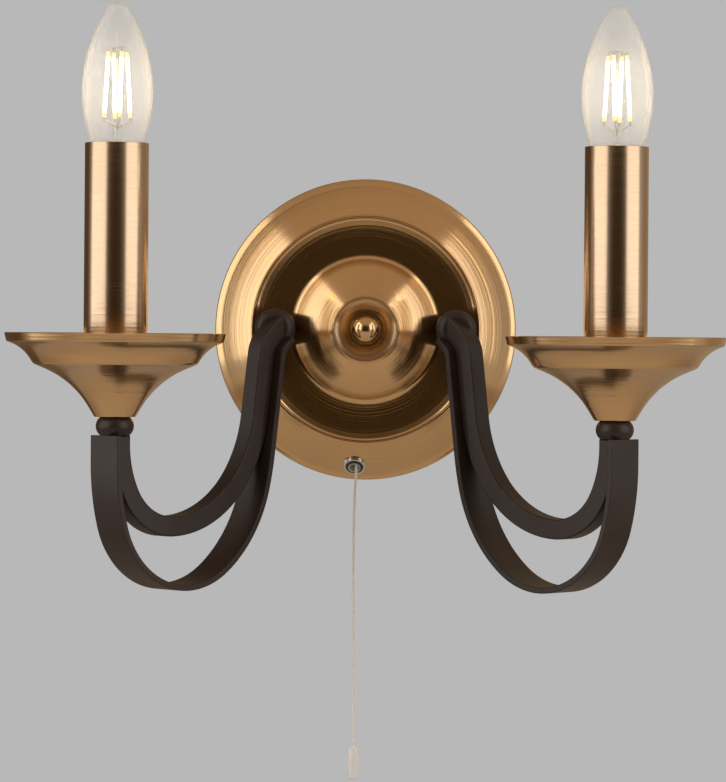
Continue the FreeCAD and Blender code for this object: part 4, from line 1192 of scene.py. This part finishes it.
@dataclass
class Studio:
    """Camera, floor, soft lamps and surroundings.

    The camera's lengths are in millimetres and those of the lamps and the floor in metres.
    """

    frame_width: int = 726
    frame_height: int = 782
    axis_pixel: Point = (365.5, 338.0)
    focal_pixels: float = 3497.0
    camera_distance: float = 1808.0
    camera_height: float = -4.4
    camera_x: float = 0.0
    camera_roll: float = -0.45
    backdrop: float = 0.479
    box_reach: float = 1.25
    box_front: float = -1.85
    box_backs: dict[str, float] = field(default_factory=lambda: {"left": 0.0, "right": -0.2})
    box_low: float = -0.3
    box_top: float = 1.4
    box_radiance: float = 1.38
    lamp_colour: Colour = (1.0, 0.985, 0.96)
    wall_tone: Colour = (0.46, 0.43, 0.4)
    ceiling_tone: Colour = (0.45, 0.34, 0.24)
    ground_tone: Colour = (0.6, 0.52, 0.4)
    back_left_tone: Colour = (0.1, 0.06, 0.03)
    back_right_tone: Colour = (0.34, 0.25, 0.16)
    camera_tone: Colour = (0.04, 0.026, 0.01)
    floor_height: float = -0.72
    floor_size: float = 3.2
    floor_front: float = -0.6

    def build_camera(self) -> None:
        """Sets the camera level with the plate, with the frame moved down to the hanging cord."""
        lens = bpy.data.cameras.new("view")
        lens.sensor_fit = "VERTICAL"
        lens.sensor_height = 24.0
        lens.lens = self.focal_pixels * lens.sensor_height / self.frame_height
        lens.shift_x = (self.frame_width / 2 - self.axis_pixel[0]) / self.frame_height
        lens.shift_y = -(self.frame_height / 2 - self.axis_pixel[1]) / self.frame_height
        camera = bpy.data.objects.new("view", lens)
        camera.location = (self.camera_x * MM, -self.camera_distance * MM, self.camera_height * MM)
        camera.rotation_euler = (math.pi / 2, math.radians(self.camera_roll), 0.0)
        bpy.context.scene.collection.objects.link(camera)
        bpy.context.scene.camera = camera

    def build_lamps(self) -> None:
        """Hangs a large soft lamp on each side."""
        for name, side in SIDES.items():
            depth = self.box_backs[name] - self.box_front
            height = self.box_top - self.box_low
            lamp = bpy.data.lights.new(f"{name}_softbox", "AREA")
            lamp.shape = "RECTANGLE"
            lamp.size = height
            lamp.size_y = depth
            lamp.energy = self.box_radiance * math.pi * height * depth
            lamp.color = self.lamp_colour
            stand = bpy.data.objects.new(f"{name}_softbox", lamp)
            stand.location = (side * self.box_reach, self.box_front + depth / 2, self.box_low + height / 2)
            stand.rotation_euler = (0.0, side * math.pi / 2, 0.0)
            bpy.context.scene.collection.objects.link(stand)

    def build_world(self) -> None:
        """Pale surroundings, dark behind the wall and round the camera, which sees a plain backdrop."""
        world = bpy.data.worlds.new("studio")
        world.use_nodes = True
        bpy.context.scene.world = world
        shader = Shader(world.node_tree)
        direction = shader.node("ShaderNodeTexCoord", {}, {}, "Generated")
        outputs = shader.node("ShaderNodeSeparateXYZ", {}, {0: direction}).socket.node.outputs
        x, y, z = (Link(shader, outputs[index]) for index in range(3))
        above = shader.blend(z.ramp(0.1, 0.8), rgba(self.wall_tone), rgba(self.ceiling_tone))
        around = shader.blend((0.0 - z).ramp(0.1, 0.8), above, rgba(self.ground_tone))
        behind = shader.blend(x.ramp(-0.4, 0.4), rgba(self.back_left_tone), rgba(self.back_right_tone))
        around = shader.blend(y.ramp(0.1, 0.45), around, behind)
        level = shader.blend((0.0 - y).ramp(0.66, 0.97), around, rgba(self.camera_tone))
        path = shader.node("ShaderNodeLightPath", {}, {}, "Is Camera Ray")
        through = Link(shader, path.socket.node.outputs["Is Transmission Ray"])
        seen = shader.node("ShaderNodeMath", {"operation": "MAXIMUM"}, {0: path, 1: through})
        colour = shader.blend(seen, level, rgba((self.backdrop,) * 3))
        background = shader.node("ShaderNodeBackground", {}, {"Color": colour, "Strength": 1.0})
        output = shader.tree.nodes.new("ShaderNodeOutputWorld")
        shader.tree.links.new(background.socket, output.inputs["Surface"])

    def build_floor(self) -> None:
        """Lays a plain pale floor under the light."""
        Bench.clear()
        place = (0, self.floor_front, self.floor_height)
        bpy.ops.mesh.primitive_plane_add(size=self.floor_size, location=place)
        floor = bpy.context.active_object
        floor.name = "studio_floor"
        bpy.ops.object.transform_apply(location=True, rotation=True, scale=True)
        Bench.dress(floor, Moulded("floor_paper", (0.72, 0.7, 0.66), 0.8, tone=(0.7, 0.68, 0.64)).build())

    def build(self) -> None:
        """Builds the whole studio."""
        self.build_lamps()
        self.build_world()
        self.build_floor()
        bpy.context.scene.view_settings.view_transform = "Standard"


# ------------------------------------------------------------------ the light

BRASS: Colour = (0.7, 0.42, 0.16)
BRASS_TONE: Colour = (0.62, 0.36, 0.13)
SLEEVE: Colour = (0.56, 0.38, 0.22)
SLEEVE_TONE: Colour = (0.5, 0.33, 0.18)


class WallLight:
    """The whole light: it makes the finishes, the new pieces and the finishes of the CAD nodes."""

    def __init__(self) -> None:
        """Makes the finishes that several pieces share."""
        self.paint = Paint("dark_bronze_paint", (0.03, 0.0185, 0.015), 0.36,
                           tone=(0.04, 0.027, 0.023)).build()
        self.zinc = PlainMetal("zinc_plate", (0.55, 0.54, 0.5), 0.35, 1.0, tone=(0.42, 0.42, 0.4)).build()
        self.turned = PlainMetal("turned_brass", (0.72, 0.5, 0.2), 0.3, 1.0, tone=(0.6, 0.4, 0.15)).build()
        self.nickel = PlainMetal("nickel", (0.6, 0.57, 0.52), 0.28, 1.0, tone=(0.5, 0.46, 0.4)).build()
        self.chrome = PlainMetal("chrome", (0.78, 0.77, 0.76), 0.2, 1.0, tone=(0.7, 0.69, 0.68)).build()
        self.dark_bush = PlainMetal("dark_bush", (0.12, 0.115, 0.11), 0.4, 1.0,
                                    tone=(0.08, 0.08, 0.075)).build()
        self.pale = Moulded("pale_plastic", (0.96, 0.96, 0.96), 0.35, tone=(0.93, 0.93, 0.92)).build()
        # The liner is white plastic: its grey here is painted shade, for the shadow deep in the switch mouth.
        self.shaded_liner = Moulded("painted_shade_liner", (0.6, 0.58, 0.54), 0.4, tone=(0.5, 0.48, 0.44)).build()
        self.black = Moulded("black_plastic", (0.02, 0.02, 0.022), 0.45, tone=(0.03, 0.03, 0.03)).build()
        self.sheath = Moulded("cable_sheath", (0.75, 0.75, 0.73), 0.45, tone=(0.7, 0.7, 0.68)).build()
        # The cord's darker tone is painted shade in the grooves between its strands.
        self.laid = TwistedCord("laid_cord", (0.98, 0.98, 0.98), tone=(0.84, 0.84, 0.84)).build()
        self.glass = ClearGlass("lamp_glass", (0.95, 0.95, 0.95)).build()
        self.seal = Moulded("black_seal_glass", (0.01, 0.01, 0.012), 0.15, tone=(0.015, 0.015, 0.02)).build()

    def dress_frame(self) -> None:
        """Gives every CAD node its finish."""
        both = [f"{side}_" for side in SIDES]
        finish_nodes(self.paint, [s + n for s in both for n in ("arm_boss", "arm_tube", "arm_strip")])
        finish_nodes(self.zinc, ["wall_bracket", "centre_stud", "stud_locknuts", "boss_washers",
                                 "pipe_locknuts", "switch_lid_screws", "switch_pin", "switch_spring",
                                 "terminal_screws"])
        finish_nodes(self.zinc, [s + n for s in both for n in ("boss_nipple", "candle_nipple")])
        finish_nodes(self.turned, ["earth_screw", "terminal_inserts", "switch_contacts", "switch_lever"])
        finish_nodes(self.turned, [s + n for s in both for n in ("lampholder_shell", "lampholder_contact")])
        finish_nodes(self.pale, ["terminal_block"] + [s + "lampholder_body" for s in both])
        finish_nodes(self.black, ["switch_housing", "switch_lid"])
        finish_nodes(self.laid, ["cord_neck", "inner_cord"])
        finish_nodes(self.sheath, ["switch_leads"] + [s + "arm_cable" for s in both])
        finish_nodes(self.nickel, [s + "bulb_cap" for s in both])
        finish_nodes(self.seal, [s + "bulb_insulator" for s in both])

    def build(self) -> None:
        """Builds every new piece."""
        CordSwitch().build_cord(self.laid, self.pale)
        CordSwitch().build_mouth(self.chrome, self.dark_bush, self.shaded_liner)
        plate_brass = SpunMetal("plate_brass", BRASS, 0.16, 1.0, tone=BRASS_TONE, axis=Axis.Y).build()
        Plate().build(plate_brass)
        Finial().build(SpunMetal("nut_brass", BRASS, 0.1, 1.0, tone=BRASS_TONE, axis=Axis.Y,
                                 groove_lean=0.04, ring_lean=0.0).build())
        for side in SIDES:
            Candle(side).build(self.paint, self.glass, self.nickel)
        self.dress_frame()


def main() -> None:
    studio = Studio()
    studio.build_camera()
    studio.build()
    WallLight().build()


if __name__ == "__main__":
    main()
